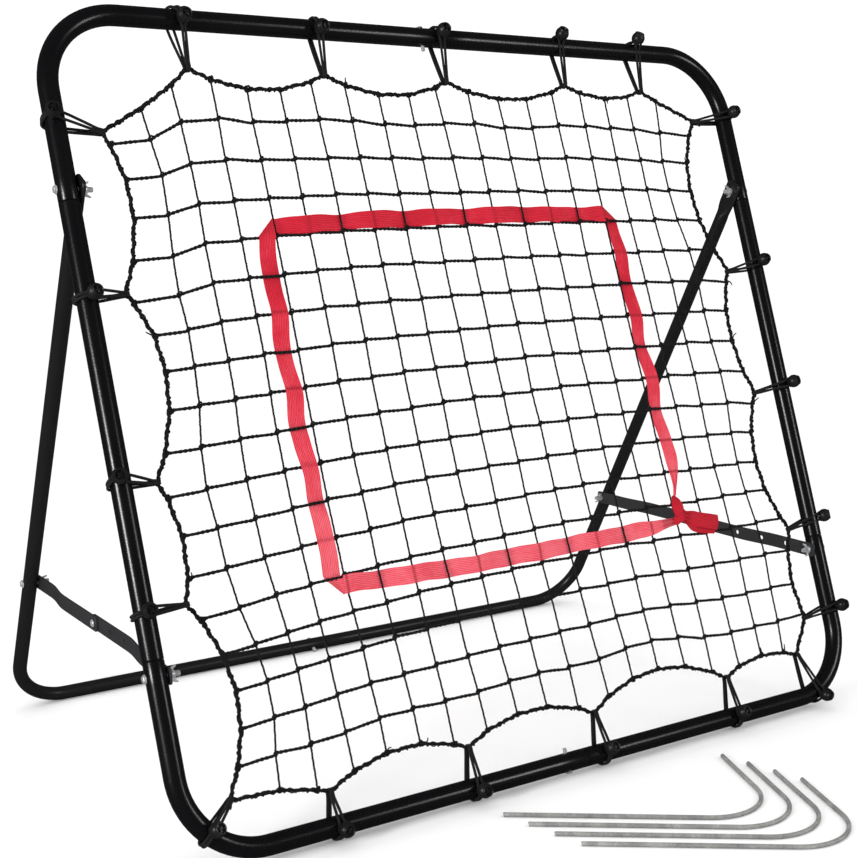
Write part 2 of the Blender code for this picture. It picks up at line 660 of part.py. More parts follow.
def net_edge_points():
    """Where the net's edge is held, clockwise from the left side's top."""
    held = {}
    for name, anchor, across, end, seat, roll in bungee_places():
        held[name] = tuple(end + (end - anchor).normalized() * (CORD_R + NET_GAP))
    order = ["left_1"] + [f"top_{i}" for i in range(1, len(TOP_BUNGEES) + 1)]
    order += [f"right_{i}" for i in range(1, len(RIGHT_BUNGEES) + 1)] + ["corner_right"]
    order += [f"bottom_{i}" for i in range(len(BOTTOM_BUNGEES), 0, -1)] + ["corner_left"]
    order += [f"left_{i}" for i in range(len(LEFT_BUNGEES), 1, -1)]
    return [held[name] for name in order]


# ---------------------------------------------------------------- net and target ribbon
def scalloped(points, inset):
    """The net's edge: each span between two held points dips towards the middle."""
    outline = []
    centre = Vector((0, FRAME_HEIGHT / 2))
    for first, second in zip(points, points[1:] + points[:1]):
        a, b = Vector(first), Vector(second)
        span = b - a
        inward = Vector((span.y, -span.x)).normalized()
        for step in range(4):
            t = step / 4
            dip = 4 * t * (1 - t) * NET_SAG * span.length
            point = a + span * t + inward * dip
            outline.append(point + (centre - point).normalized() * inset)
    return outline


def prism(outline, low, high):
    bm = bmesh.new()
    rings = [[bm.verts.new((p[0], p[1], z)) for p in outline] for z in (low, high)]
    join_rings(bm, rings)
    return bm


def net_panel(frame):
    """The net as a pierced panel: every opening stands for two by two meshes."""
    half = NET_THICKNESS / 2
    held = net_edge_points()
    net = add_object("net", prism(scalloped(held, 0.0), -half, half), "black_net_twine", frame)
    inside = prism(scalloped(held, NET_BAND), -0.01, 0.01)
    cutter = add_object("net_openings", inside, "black_net_twine", frame)
    left, right = -HALF_WIDTH + NET_EDGE, HALF_WIDTH - NET_EDGE
    bottom, top = NET_EDGE, FRAME_HEIGHT - NET_EDGE
    cell_x = (right - left) / NET_COLUMNS
    cell_y = (top - bottom) / NET_ROWS
    cords = bmesh.new()
    for i in range(NET_COLUMNS + 1):
        x = left + i * cell_x
        add_box(cords, (x - NET_CORD / 2, bottom - 0.02, -0.02), (x + NET_CORD / 2, top + 0.02, 0.02))
    columns = add_object("net_columns", cords, "black_net_twine", frame)
    rows = bmesh.new()
    for i in range(NET_ROWS + 1):
        y = bottom + i * cell_y
        add_box(rows, (left - 0.02, y - NET_CORD / 2, -0.03), (right + 0.02, y + NET_CORD / 2, 0.03))
    row_tool = add_object("net_rows", rows, "black_net_twine", frame)
    add_boolean(cutter, columns, "DIFFERENCE")
    add_boolean(cutter, row_tool, "DIFFERENCE")
    add_boolean(net, cutter, "DIFFERENCE")


def add_box(bm, low, high):
    size = Vector(high) - Vector(low)
    middle = (Vector(high) + Vector(low)) / 2
    place = Matrix.Translation(middle) @ Matrix.Diagonal((*size, 1))
    bmesh.ops.create_cube(bm, size=1.0, matrix=place)


def target_ribbon(frame):
    """A flat rectangle of webbing on the net's front, folded at its corners and knotted."""
    half = RIBBON_WIDTH / 2
    low = NET_THICKNESS / 2 + GAP
    high = low + RIBBON_THICKNESS
    left, right = TARGET_LEFT - half, TARGET_RIGHT + half
    bottom, top = TARGET_BOTTOM - half, TARGET_TOP + half
    cut = RIBBON_WIDTH * 0.8
    outline = [(left, bottom + cut), (left + cut, bottom), (right, bottom), (right, top - cut),
               (right - cut, top), (left + cut, top), (left, top - cut)]
    ribbon = add_object("target_ribbon", prism(outline[::-1], low, high), "red_webbing", frame)
    window = bmesh.new()
    add_box(window, (left + RIBBON_WIDTH, bottom + RIBBON_WIDTH, -0.02),
            (right - RIBBON_WIDTH, top - RIBBON_WIDTH, 0.02))
    add_boolean(ribbon, add_object("ribbon_window", window, "red_webbing", frame), "DIFFERENCE")
    tail = bmesh.new()
    add_box(tail, (right - 0.004, bottom - 0.001, low + 0.0001),
            (right + TAIL_LENGTH, bottom + RIBBON_WIDTH + 0.003, high - 0.0001))
    add_boolean(ribbon, add_object("ribbon_tail", tail, "red_webbing", frame), "UNION")
    knot = bmesh.new()
    place = Matrix.Translation((TARGET_RIGHT, TARGET_BOTTOM + 0.012, low + 0.0085))
    place = place @ Matrix.Diagonal((0.016, 0.019, 0.0085, 1))
    bmesh.ops.create_icosphere(knot, subdivisions=2, radius=1.0, matrix=place)
    add_boolean(ribbon, add_object("ribbon_knot", knot, "red_webbing", frame), "UNION")


# ---------------------------------------------------------------- ground pegs
def peg_path(steps=9):
    """A straight shaft, one wide bend and a shorter hook, with the outward direction."""
    forward = Vector((cos(PEG_HEADING), sin(PEG_HEADING)))
    left = Vector((-forward.y, forward.x))
    centre = forward * PEG_SHAFT + left * PEG_BEND_R
    path = [(Vector((0, 0)), -left)]
    for i in range(steps + 1):
        a = PEG_TURN * i / steps
        outward = forward * sin(a) - left * cos(a)
        path.append((centre + outward * PEG_BEND_R, outward))
    outward = path[-1][1]
    along = Vector((-outward.y, outward.x))
    path.append((path[-1][0] + along * PEG_HOOK, outward))
    return path


def ground_pegs():
    for number in range(PEG_COUNT):
        bm = bmesh.new()
        rings = []
        for centre, outward in peg_path():
            ring = []
            for k in range(PEG_SIDES):
                a = 2 * pi * (k + 0.5) / PEG_SIDES
                flat = centre + outward * (PEG_R * cos(a))
                ring.append(bm.verts.new((flat.x, flat.y, PEG_R * sin(a))))
            rings.append(ring)
        join_rings(bm, rings)
        peg = add_object(f"ground_peg_{number + 1}", bm, "galvanised_steel")
        peg.location = (PEG_START[0] + number * PEG_STEP[0],
                        FRONT_Y + PEG_START[1] + number * PEG_STEP[1], PEG_R * PEG_FACET)


# ---------------------------------------------------------------- whole object
def build():
    clear_scene()
    front = add_empty("front_frame", (0, FRONT_Y, FRONT_Z), pi / 2 - LEAN)
    rear = add_empty("rear_frame", PIVOT, pi / 2 + LEG_ANGLE)
    front_tubes(front)
    side_tubes(front)
    rear_legs(rear)
    rear_corners(rear)
    strut_bars()
    fasteners(front, rear)
    joint_screws(front, rear)
    ball_bungees(front)
    net_panel(front)
    target_ribbon(front)
    ground_pegs()


build()
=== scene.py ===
"""Looks of the pitch back rebounder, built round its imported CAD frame.

Metres, +Z up, in the CAD's own frame.  Each piece is built in mesh code in one of
these local frames, whose places come from the joints, and then put in the CAD's frame:
  FRONT   x across, y up the leaning frame, z out of the net towards the player
  REAR    x across, y up the rear legs, z towards the player, origin on the pivot
  FRONT_BAR_PLACE, REAR_BAR_PLACE   x across, y along the strut bars, origin on each bolt
A mesh's UV map holds metres: u round or across the piece, v along it.
"""

import bmesh
import bpy
import json
import numpy as np
from math import acos, cos, exp, pi, radians, sin
from mathutils import Matrix, Vector


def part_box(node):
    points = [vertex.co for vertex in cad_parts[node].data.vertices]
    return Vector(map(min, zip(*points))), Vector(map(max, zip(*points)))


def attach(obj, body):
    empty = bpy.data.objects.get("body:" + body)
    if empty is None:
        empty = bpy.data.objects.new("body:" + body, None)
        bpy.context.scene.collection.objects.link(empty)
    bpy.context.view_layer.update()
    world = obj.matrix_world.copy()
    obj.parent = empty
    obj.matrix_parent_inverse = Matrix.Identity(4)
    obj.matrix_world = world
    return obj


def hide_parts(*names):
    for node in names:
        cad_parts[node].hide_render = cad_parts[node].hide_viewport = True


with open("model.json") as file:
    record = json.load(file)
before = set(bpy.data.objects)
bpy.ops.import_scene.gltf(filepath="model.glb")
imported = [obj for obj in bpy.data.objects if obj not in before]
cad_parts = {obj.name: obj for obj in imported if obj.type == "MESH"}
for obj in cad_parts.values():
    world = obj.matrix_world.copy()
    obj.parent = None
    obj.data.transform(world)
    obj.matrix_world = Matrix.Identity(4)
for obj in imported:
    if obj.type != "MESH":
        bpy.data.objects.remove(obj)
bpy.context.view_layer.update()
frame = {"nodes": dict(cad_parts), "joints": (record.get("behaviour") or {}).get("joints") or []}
RANDOM = np.random.default_rng(11)

# ---------------- driving dimensions
GAP = 0.0003
FRAME_WIDTH = 0.968             # between the side tubes' centre lines
FRAME_HEIGHT = 0.8945
CORNER_RADIUS = 0.088
TUBE_R = 0.01125
WALL = 0.0012
TUBE_SIDES = 36
TUBE_LIP = 0.0005               # rounding of the tubes' rims
OVAL = 0.018                    # how far a bend slims its tube
SPIGOT_LENGTH = 0.045
BORE_DEPTH = SPIGOT_LENGTH + 0.003
UPPER_SEAM = 0.686
LOWER_SEAM = 0.2075
MID_SEAM_X = 0.023
PIVOT_HEIGHT = 0.700
STRUT_HEIGHT = 0.191

REAR_HALF_WIDTH = 0.472
REAR_TUBE_R = 0.009
REAR_WALL = 0.001
REAR_CORNER_RADIUS = 0.068
REAR_SEAM = 0.5285
REAR_BOLT = 0.537
FLAT_THICKNESS = 0.004
FLAT_WIDTH = 0.026
FLAT_END = 0.014
FLAT_LENGTH = 0.018
FLAT_TAPER = 0.024

BAR_WIDTH = 0.018
BAR_THICKNESS = 0.0025
BAR_PITCH = 0.0427
BAR_HOLES = 5
BAR_SHIFT = 0.0064
BAR_HOLE_R = 0.0030
BAR_CORNER = 0.004
BAR_EDGE = 0.0004               # rounding of the bars' edges

BOLT_R = 0.003
HEAD_R = 0.0050
HEAD_HEIGHT = 0.0033
SMALL_BOLT_R = 0.0025
SHANK = 0.004                   # of a bolt, under its head, to where its thread starts
BOLT_TIP = 0.012                # how far a bolt stands out past what it holds
SCREW_TIP = 0.0062              # the length of a joint screw's thread
SCREW_HEAD_R = 0.0040           # a joint screw is wider than this only at its head
WING_THICKNESS = 0.0016
WING_EDGE = 0.0005              # rounding of the wings' edges
THREAD_PITCH = 0.0010
THREAD_DEPTH = 0.00045

CORD_CLEARANCE = 0.0006
STRAND_R = 0.00165              # the bungees' elastic cord
BALL_R = 0.0088
NECK_R = 0.0057                 # the cord's turn round the neck under a ball
NECK_HEIGHT = 0.0036            # that turn's height off the tube
FOOT_HEIGHT = 0.0030            # where the loop ends inside the ball's foot
FOOT_APART = 0.0008             # half the distance between its ends there
FOOT_TURN = radians(10)         # round the tube to where the loop first lies on it
EDGE_NEAR = 0.003               # how far before the net end the strands aim
PARTING_DROP = 0.0090           # from the ball's neck to where its strands part
WIDE_SPREAD = 0.0038            # of the first top loop's two strands behind the tube
# each bungee, with x along the top and bottom tubes and height along the side tubes:
# the loop's place along the tube, its net end's place and distance from the tube's centre
# line, the ball's place along the tube, and the degrees that the ball has rolled round
# the tube towards the net
TOP_BUNGEES = (
    (-0.3285, -0.3226, 0.0565, -0.3239, 9),
    (-0.1520, -0.1510, 0.0555, -0.1526, 13),
    (0.0175, 0.0200, 0.0565, 0.0187, -5),
    (0.2090, 0.2075, 0.0525, 0.2076, -31),
    (0.3360, 0.3380, 0.0555, 0.3409, -41),
)
BOTTOM_BUNGEES = (
    (-0.3180, -0.3166, 0.0375, -0.3153, -11),
    (-0.1380, -0.1350, 0.0460, -0.1369, -9),
    (0.0500, 0.0510, 0.0485, 0.0523, 14),
    (0.2720, 0.2720, 0.0500, 0.2712, 12),
)
LEFT_BUNGEES = (
    (0.7710, 0.7625, 0.0495, 0.7780, -17),
    (0.5840, 0.5870, 0.0435, 0.5855, 7),
    (0.3880, 0.3870, 0.0395, 0.3951, -18),
    (0.2540, 0.2580, 0.0465, 0.2570, -4),
)
RIGHT_BUNGEES = (
    (0.8050, 0.7990, 0.0595, 0.8079, -8),
    (0.5920, 0.5860, 0.0540, 0.5951, 3),
    (0.4210, 0.4145, 0.0525, 0.4217, -19),
    (0.2315, 0.2230, 0.0435, 0.2328, -38),
    (0.1095, 0.1015, 0.0495, 0.1087, -15),
)
# side of the frame, degrees up the bend from the bottom tube, the net end's distance,
# the ball's slip round the bend and its roll
CORNER_BUNGEES = {
    "left": (-1, 45.0, 0.0402, 0.0023, 13),
    "right": (1, 14.5, 0.0560, -0.0050, -20),
}

# a loop's way round the edge cord: past it, to the side, and its share of the turn's radius
EDGE_TURN = ((-0.0060, 0.0014, -1.0), (0.0006, 0.0012, -0.7), (0.0022, 0.0012, 0.0), (0.0006, 0.0013, 0.7),
             (-0.0060, 0.0015, 1.0))
# how far each strand lies to the side at PARTING_DROP, and for the rows and bungees that differ
PARTING = 0.0036
PARTINGS = {"top": 0.0028, "top_1": 0.0017, "bottom": 0.0026, "corner_left": 0.0019}

UPRIGHT_R = 0.00115             # the net's twine up the frame, and the looser one across
RUNG_R = 0.00180
UPRIGHT_LAY = 0.0105            # the length of one turn of its twist
RUNG_LAY = 0.0115
EDGE_LAY = 0.016
KNOT_HALF = 0.0024              # from a crossing to where the rung leaves its knot
RUNG_SLIP = 0.0011              # how far a rung steps up and down as it leaves a knot
EDGE_R = 0.0020
LASHING_R = 0.0008
LASHING_STEP = 0.0016
LASHINGS = ((0.0125, 0.0), (0.0230, 2.1))  # each one's length of a turn and its start's angle
FRAYED = 0.36                   # the share of the border's knots that have a loose end
TWINE_STEP = 0.0026             # between the rings of points along the twine
NET_COLUMNS = 19
NET_ROWS = 18
EDGE_INSET = 0.0010             # from a bungee's end back to the edge cord's centre
EDGE_TENSION = 3.0              # of the edge cord, against 1 in the twine
HELD_TENSION = 1.7              # how much stiffer its short stretches by a held point are
BORDER_TENSION = 1.35           # the edge cord's further pull once the net has settled
SLIDE = 0.9                     # how far a border knot slides to line up with its twine
SAG = (0.0040, -0.0085)         # of the outermost knots by the upper left corner
SAG_END = 7                     # the row down the net where that sag has faded out
SLIP = 0.0007                   # how unevenly the knots are tied
# the meshes between which each edge is held, counted from the left or from the top
TOP_HELD = (2, 6, 10, 14, 17)
BOTTOM_HELD = (2, 6, 10, 15)
LEFT_HELD = (4, 9, 12)
RIGHT_HELD = (5, 9, 14, 17)
# how far use has dragged the net out of balance, in mm: across and up the frame, for four
# places from left to right, each from top to bottom
DRAG = (
    ((2, 21), (-12, 12), (-10, 2), (9, 0)),
    ((2, 12), (-4, 11), (-6, 7), (4, -1)),
    ((4, 9), (0, 9), (0, 7), (4, -4)),
    ((-6, 5), (8, 10), (12, 4), (5, -11)),
)

RIBBON_WIDTH = 0.0205
RIBBON_HALF = 0.0003            # half its thickness
RIBBON_WEAVE = 0.0023           # how far it passes in front of and behind the twine
FOLD_REACH = RIBBON_WIDTH / 2 * 1.12   # from a corner to where its fold starts and ends
RIBS = 10
RIB_HEIGHT = 0.00012
FOLD_GAP = 0.0003               # between a fold's two layers and its middle
PLEATS = 2
# painted shade on the ribbon, set row by row in its mesh's shade attribute:
STRAND_SHADOW = 0.0015          # how far from a strand behind it the ribbon looks darker
FOLD_SHADE = 0.45               # how dark the ribbon is over a fold, of 1 over a strand
ROLL_SHADE = 0.40               # round the fold's edge
LAYER_SHADE = 0.55              # and where its own end lies behind it
DOUBLED = 0.027                 # the length of that end
RIBBON_ROWS = range(4, 14)      # the net's rows and columns that it is woven through
RIBBON_COLUMNS = range(4, 16)
KNOT_Z = 0.0062                 # the tied ribbon's height off the net
# the middle of the ribbon from the knot up the right, over the top, down the left and back
RIGHT_RUN = ((0.2440, 0.2915), (0.2525, 0.3200), (0.2545, 0.3450), (0.2493, 0.4000), (0.2512, 0.4500),
             (0.2458, 0.5000), (0.2460, 0.5400), (0.2425, 0.6100), (0.2400, 0.6690))
TOP_RUN = ((0.2400, 0.6690), (0.1800, 0.6682), (0.1200, 0.6695), (0.0000, 0.6675), (-0.1200, 0.6645),
           (-0.1800, 0.6617), (-0.2655, 0.6555))
LEFT_RUN = ((-0.2655, 0.6555), (-0.2670, 0.6300), (-0.2692, 0.5500), (-0.2707, 0.5100), (-0.2695, 0.4700),
            (-0.2705, 0.4300), (-0.2670, 0.3700), (-0.2650, 0.3100), (-0.2640, 0.2510))
BOTTOM_RUN = ((-0.2640, 0.2510), (-0.1800, 0.2500), (-0.1200, 0.2488), (0.0000, 0.2503), (0.1200, 0.2535),
              (0.2000, 0.2557), (0.2430, 0.2600))
FRONT_TAIL = ((0.2500, 0.2655), (0.2720, 0.2570), (0.2890, 0.2520), (0.3040, 0.2480))
UNDER_TAIL = ((0.2490, 0.2625), (0.2680, 0.2520), (0.2860, 0.2465), (0.2990, 0.2440))

PEG_R = 0.0025
PEG_SHAFT = 0.226
PEG_BEND_R = 0.068
PEG_TURN = radians(103.5)
PEG_HOOK = 0.098
PEG_HEADING = radians(-35.7)
PEG_COUNT = 4
PEG_TIP = 0.78                  # the ends' share of its radius
PEG_CHAMFER = 0.0006
PEG_WAVER = 0.0003              # how far it is bent up and down

CAMERA_PLACE = (-1.005, -1.357, 0.666)
CAMERA_YAW = radians(33.7)      # turned from +Y towards +X
CAMERA_PITCH = radians(13.1)    # below the horizon
CAMERA_LENS = 59.4
CAMERA_SHIFT = 0.113
FLOOR_HALF = 9
FLOOR_SEEN = 0.93               # the floor's and the world's grey, as the camera sees them
WORLD_SEEN = 1.10
MIRRORED = 0.05                 # their grey in reflections
# each lamp's name, place, width and height, and watts
LAMPS = (("key", (-2.95, -0.85, 1.00), (0.40, 0.60), 36), ("fill", (1.9, -2.6, 1.35), (0.35, 0.9), 13))
LAMP_AIM = Vector((0, 0.05, 0.4))

HALF_WIDTH = FRAME_WIDTH / 2
SIDES = ((-1, "left"), (1, "right"))
X_AXIS = Vector((1, 0, 0))
OUT = np.array([0.0, 0.0, 1.0])  # out of the net, in FRONT


# ---------------- local frames
def joint_place(name):
    joint = next(j for j in frame["joints"] if j["name"] == name)
    return Vector(joint["pos_m"])


def local_frame(origin, up):
    """A 4 x 4 array with x across the object, y along up and z = x cross y."""
    y = up.normalized()
    z = X_AXIS.cross(y)
    place = Matrix((X_AXIS, y, z)).transposed().to_4x4()
    place.translation = origin
    return np.array(place)


PIVOT = joint_place("rear_frame_fold")
FRONT_BOLT = joint_place("left_front_strut_turn")
STRUT_BOLT = joint_place("left_rear_strut_turn")
FRONT = local_frame(FRONT_BOLT - (PIVOT - FRONT_BOLT).normalized() * STRUT_HEIGHT, PIVOT - FRONT_BOLT)
REAR = local_frame(PIVOT, PIVOT - STRUT_BOLT)
FRONT_BAR_PLACE = local_frame(FRONT_BOLT, STRUT_BOLT - FRONT_BOLT)
REAR_BAR_PLACE = local_frame(STRUT_BOLT, STRUT_BOLT - FRONT_BOLT)
CAD_PLACE = np.eye(4)
FRONT_BAR = BAR_HOLES * BAR_PITCH
REAR_BAR = (STRUT_BOLT - FRONT_BOLT).length - FRONT_BAR


def node_points(node, place):
    """A CAD node's vertices in a local frame."""
    points = np.array([v.co for v in frame["nodes"][node].data.vertices])
    return (points - place[:3, 3]) @ place[:3, :3]


def foot_height():
    """The rear floor bar's centre line, along REAR's y."""
    points = node_points("rear_left_corner_tube", REAR)
    straight = points[points[:, 0] > -REAR_HALF_WIDTH / 2]
    return (straight[:, 1].min() + straight[:, 1].max()) / 2


LEG = -foot_height()


# ---------------- mesh building
def circle(radius, sides, phase=0.0):
    a = phase + 2 * pi * np.arange(sides) / sides
    return np.stack([radius * np.cos(a), radius * np.sin(a)], axis=1)


def unit_rows(vectors):
    return vectors / np.linalg.norm(vectors, axis=1)[:, None]


def distances(path):
    """How far along a path each of its points is."""
    return np.concatenate([[0], np.cumsum(np.linalg.norm(np.diff(path, axis=0), axis=1))])


def square_axes(axis):
    """A unit axis, with two directions square to it and to each other."""
    axis = np.asarray(axis, float) / np.linalg.norm(axis)
    helper = np.array([0, 0, 1.0]) if abs(axis[2]) < 0.9 else np.array([0, 1.0, 0])
    u = np.cross(helper, axis)
    u /= np.linalg.norm(u)
    return axis, u, np.cross(axis, u)


def smooth_step(t):
    t = np.clip(t, 0, 1)
    return t * t * (3 - 2 * t)


def spaced(lengths, step):
    """Even places along a path, about step apart."""
    return np.linspace(0, lengths[-1], max(2, int(round(lengths[-1] / step)) + 1))


def points_at(at, lengths, points):
    """The points that lie at those lengths along a path, on its straight stretches."""
    return np.stack([np.interp(at, lengths, points[:, k]) for k in range(3)], axis=1)


def resample(points, step):
    """Evenly spaced points on straight stretches between the given ones."""
    points = np.asarray(points, float)
    lengths = distances(points)
    return points_at(spaced(lengths, step), lengths, points)


def eased(points, step):
    """Evenly spaced points on a smooth curve through the given ones."""
    points = np.asarray(points, float)
    lengths = distances(points)
    slopes = np.gradient(points, lengths, axis=0)
    at = spaced(lengths, step)
    index = np.clip(np.searchsorted(lengths, at, side="right") - 1, 0, len(points) - 2)
    span = lengths[index + 1] - lengths[index]
    t = ((at - lengths[index]) / span)[:, None]
    span = span[:, None]
    first, second = points[index], points[index + 1]
    return (first * (2 * t**3 - 3 * t**2 + 1) + slopes[index] * span * (t**3 - 2 * t**2 + t)
            + second * (3 * t**2 - 2 * t**3) + slopes[index + 1] * span * (t**3 - t**2))


def new_object(name, data):
    obj = bpy.data.objects.new(name, data)
    bpy.context.collection.objects.link(obj)
    return obj


class Shell:
    """Points, faces and UVs of one piece, gathered in a local frame."""

    def __init__(self, place):
        self.place = np.asarray(place)
        self.points, self.faces, self.uvs, self.slots = [], [], [], []
        self.count = 0

    def add(self, points, faces, uvs, slot=0):
        """points n x 3 local, faces lists of indices, uvs one (u, v) for each face corner."""
        self.points.append(np.asarray(points, float))
        self.faces.extend([tuple(int(i) + self.count for i in face) for face in faces])
        self.uvs.append(np.asarray(uvs, float).reshape(-1, 2))
        self.slots.extend([slot] * len(faces))
        self.count += len(points)

    def rings(self, rings, lengths, closed=False, slot=0, girth=None):
        """Skin rings (n x k x 3) whose places along the piece are lengths."""
        rings = np.asarray(rings, float)
        n, k = rings.shape[:2]
        if girth is None:
            girth = np.linalg.norm(rings[n // 2] - np.roll(rings[n // 2], 1, axis=0), axis=1).sum()
        i, j = np.divmod(np.arange((n if closed else n - 1) * k), k)
        nxt, turn = (i + 1) % n, (j + 1) % k
        faces = np.stack([i * k + j, i * k + turn, nxt * k + turn, nxt * k + j], axis=1).tolist()
        along = np.append(lengths, lengths[-1] + lengths[1] - lengths[0])
        u0, u1 = j * girth / k, (j + 1) * girth / k
        v0, v1 = along[i], along[i + 1]
        uvs = np.stack([u0, v0, u1, v0, u1, v1, u0, v1], axis=1).reshape(-1, 2)
        if not closed:
            faces += [list(range(k))[::-1], [(n - 1) * k + a for a in range(k)]]
            uvs = np.vstack([uvs, np.tile([0.0, along[0]], (k, 1)), np.tile([0.0, along[n - 1]], (k, 1))])
        self.add(rings.reshape(-1, 3), faces, uvs, slot)

    def add_faces(self, points, faces, flip, axes):
        """Faces, turned over if flip, with UVs from two of their points' coordinates."""
        faces = [face[::-1] for face in faces] if flip else faces
        self.add(points, faces, [points[i][list(axes)] for face in faces for i in face])

    def carry(self, path, section, forward, side, closed=False):
        """A section, k x 2 or n x k x 2, carried along a path with its sides along (side, top)."""
        side = unit_rows(side)
        top = np.cross(forward, side)
        rings = path[:, None] + section[..., :1] * side[:, None] + section[..., 1:] * top[:, None]
        self.rings(rings, distances(path), closed)

    def sweep(self, path, section, across, closed=False):
        """A section carried along a path, square to the path and to the fixed direction across."""
        ahead = np.roll(path, -1, axis=0) - np.roll(path, 1, axis=0) if closed else np.gradient(path, axis=0)
        forward = unit_rows(ahead)
        self.carry(path, section, forward, np.cross(across, forward), closed)

    def cord(self, path, radius, sides):
        """A round cord along any path, without a twist."""
        forward = unit_rows(np.gradient(path, axis=0))
        side = [np.cross(forward[0], (0.31, 0.82, 0.47))]
        for way in forward[1:]:
            side.append(side[-1] - way * (side[-1] @ way))
        self.carry(path, circle(radius, sides), forward, np.array(side))

    def lathe(self, profile, centre, axis, sides=24, slot=0):
        """profile is (distance along axis, radius) from the first cap to the last."""
        axis, u, w = square_axes(axis)
        ring = circle(1.0, sides)
        rim = ring[:, :1] * u + ring[:, 1:] * w
        rings = [np.asarray(centre) + axis * along + rim * max(radius, 1e-5) for along, radius in profile]
        steps = np.maximum(1e-5, np.hypot(*np.diff(profile, axis=0).T))
        self.rings(rings, np.concatenate([[0], np.cumsum(steps)]), slot=slot)

    def thread(self, centre, axis, length, radius, sides=16):
        """An external screw thread with a chamfered tip, from centre out along axis."""
        axis, u, w = square_axes(axis)
        turns = np.arange(int(length / THREAD_PITCH * 4) + 1)[:, None] / 4
        along = turns * THREAD_PITCH
        k = np.arange(sides) / sides
        r = radius - THREAD_DEPTH * np.abs((turns + k) % 1.0 * 2 - 1)
        r = np.minimum(r, radius - 0.0008 + (length - along) * 0.9)[..., None]
        rim = np.cos(2 * pi * k)[:, None] * u + np.sin(2 * pi * k)[:, None] * w
        self.rings(np.asarray(centre) + axis * along[..., None] + rim * r, along[:, 0])

    def object(self, name, materials, body, replaces, slot, sharp=40):
        points = np.vstack(self.points) @ self.place[:3, :3].T + self.place[:3, 3]
        mesh = bpy.data.meshes.new(name)
        mesh.from_pydata(points.tolist(), [], self.faces)
        layer = mesh.uv_layers.new(name="Metres")
        layer.data.foreach_set("uv", np.vstack(self.uvs).astype(np.float32).ravel())
        mesh.polygons.foreach_set("material_index", self.slots)
        for material in materials:
            mesh.materials.append(material)
        mesh.validate()
        mesh.shade_smooth()
        mesh.set_sharp_from_angle(angle=radians(sharp))
        obj = new_object(name, mesh)
        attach(obj, body)
        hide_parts(*replaces)
        return obj

    def node(self, node, materials, body, slot, sharp=40):
        """The object that takes one CAD node's place."""
        return self.object(f"{node}_visual", materials, body, [node], slot, sharp)


# ---------------- materials
class Nodes:
    """A material's node tree, with its Principled shader."""

    def __init__(self, name, **settings):
        self.material = bpy.data.materials.new(name)
        self.material.use_nodes = True
        self.tree = self.material.node_tree
        self.shader = self.tree.nodes["Principled BSDF"]
        for socket, value in settings.items():
            self.shader.inputs[socket.replace("_", " ").title().replace("Ior", "IOR")].default_value = value

    def add(self, kind, inputs=None, **settings):
        node = self.tree.nodes.new("ShaderNode" + kind)
        for key, value in settings.items():
            setattr(node, key, value)
        for key, value in (inputs or {}).items():
            if isinstance(value, bpy.types.NodeSocket):
                self.tree.links.new(value, node.inputs[key])
            else:
                node.inputs[key].default_value = value
        return node

    def place(self):
        """Where a point is, in metres."""
        return self.add("NewGeometry").outputs["Position"]

    def metres(self):
        """The UV map, as u and v in metres."""
        split = self.add("SeparateXYZ", {0: self.add("UVMap", uv_map="Metres").outputs[0]})
        return split.outputs["X"], split.outputs["Y"]

    def math(self, operation, first, second=0.0, third=0.0):
        return self.add("Math", {0: first, 1: second, 2: third}, operation=operation).outputs[0]

    def plus(self, first, second):
        return self.math("ADD", first, second)

    def times(self, first, second):
        return self.math("MULTIPLY", first, second)

    def wave(self, turns):
        """A sine that repeats with every whole turn."""
        return self.math("SINE", self.times(turns, 2 * pi))

    def noise(self, where, scale, detail=3.0, roughness=0.5):
        node = self.add("TexNoise", {"Vector": where, "Scale": scale, "Detail": detail,
                                     "Roughness": roughness})
        return node.outputs["Fac"]

    def between(self, value, low, high, from_low=0.0, from_high=1.0):
        node = self.add("MapRange", {"Value": value, "From Min": from_low, "From Max": from_high,
                                     "To Min": low, "To Max": high})
        return node.outputs[0]

    def colours(self, value, *stops):
        ramp = self.add("ValToRGB", {"Fac": value})
        marks = ramp.color_ramp.elements
        for place, _ in stops[2:]:
            marks.new(place)
        for mark, (place, colour) in zip(marks, stops):
            mark.position = place
            mark.color = (*colour, 1)
        return ramp.outputs["Color"]

    def finish(self, colour, roughness, height, distance, strength):
        """The material, with its colour, its roughness and a bump of height."""
        bump = self.add("Bump", {"Height": height, "Distance": distance, "Strength": strength})
        for socket, output in (("Base Color", colour), ("Roughness", roughness), ("Normal", bump.outputs[0])):
            self.tree.links.new(output, self.shader.inputs[socket])
        return self.material


def powder_coat(name, dark, light, roughness, shine):
    """Baked powder paint: fine orange peel, faint cloudiness and a few dust specks."""
    m = Nodes(name, roughness=roughness, specular_ior_level=shine)
    where = m.place()
    cloud = m.noise(where, 14.0, 4.0)
    specks = m.between(m.noise(where, 900.0, 1.0), 0.0, 1.0, 0.66, 0.74)
    tone = m.math("MULTIPLY_ADD", specks, 0.35, m.between(cloud, 0.0, 0.65))
    rough = m.plus(m.between(cloud, roughness - 0.05, roughness + 0.05), m.times(specks, 0.12))
    peel = m.noise(where, 1300.0, 2.0, 0.6)
    return m.finish(m.colours(tone, (0.0, dark), (1.0, light)), rough, peel, 0.00012, 0.55)


def plated_steel(name):
    """Bright zinc: a cool silver with faint yellow patches and fine handling marks."""
    m = Nodes(name, metallic=0.70)
    where = m.place()
    tone = m.colours(m.noise(where, 160.0, 3.0), (0.25, (0.58, 0.60, 0.63)), (0.55, (0.78, 0.79, 0.80)),
                     (0.8, (0.76, 0.73, 0.66)))
    marks = m.noise(m.add("Mapping", {"Vector": where, "Scale": (900, 900, 5200)}).outputs[0], 1.0, 3.0)
    return m.finish(tone, m.between(marks, 0.18, 0.42), marks, 0.00004, 0.6)


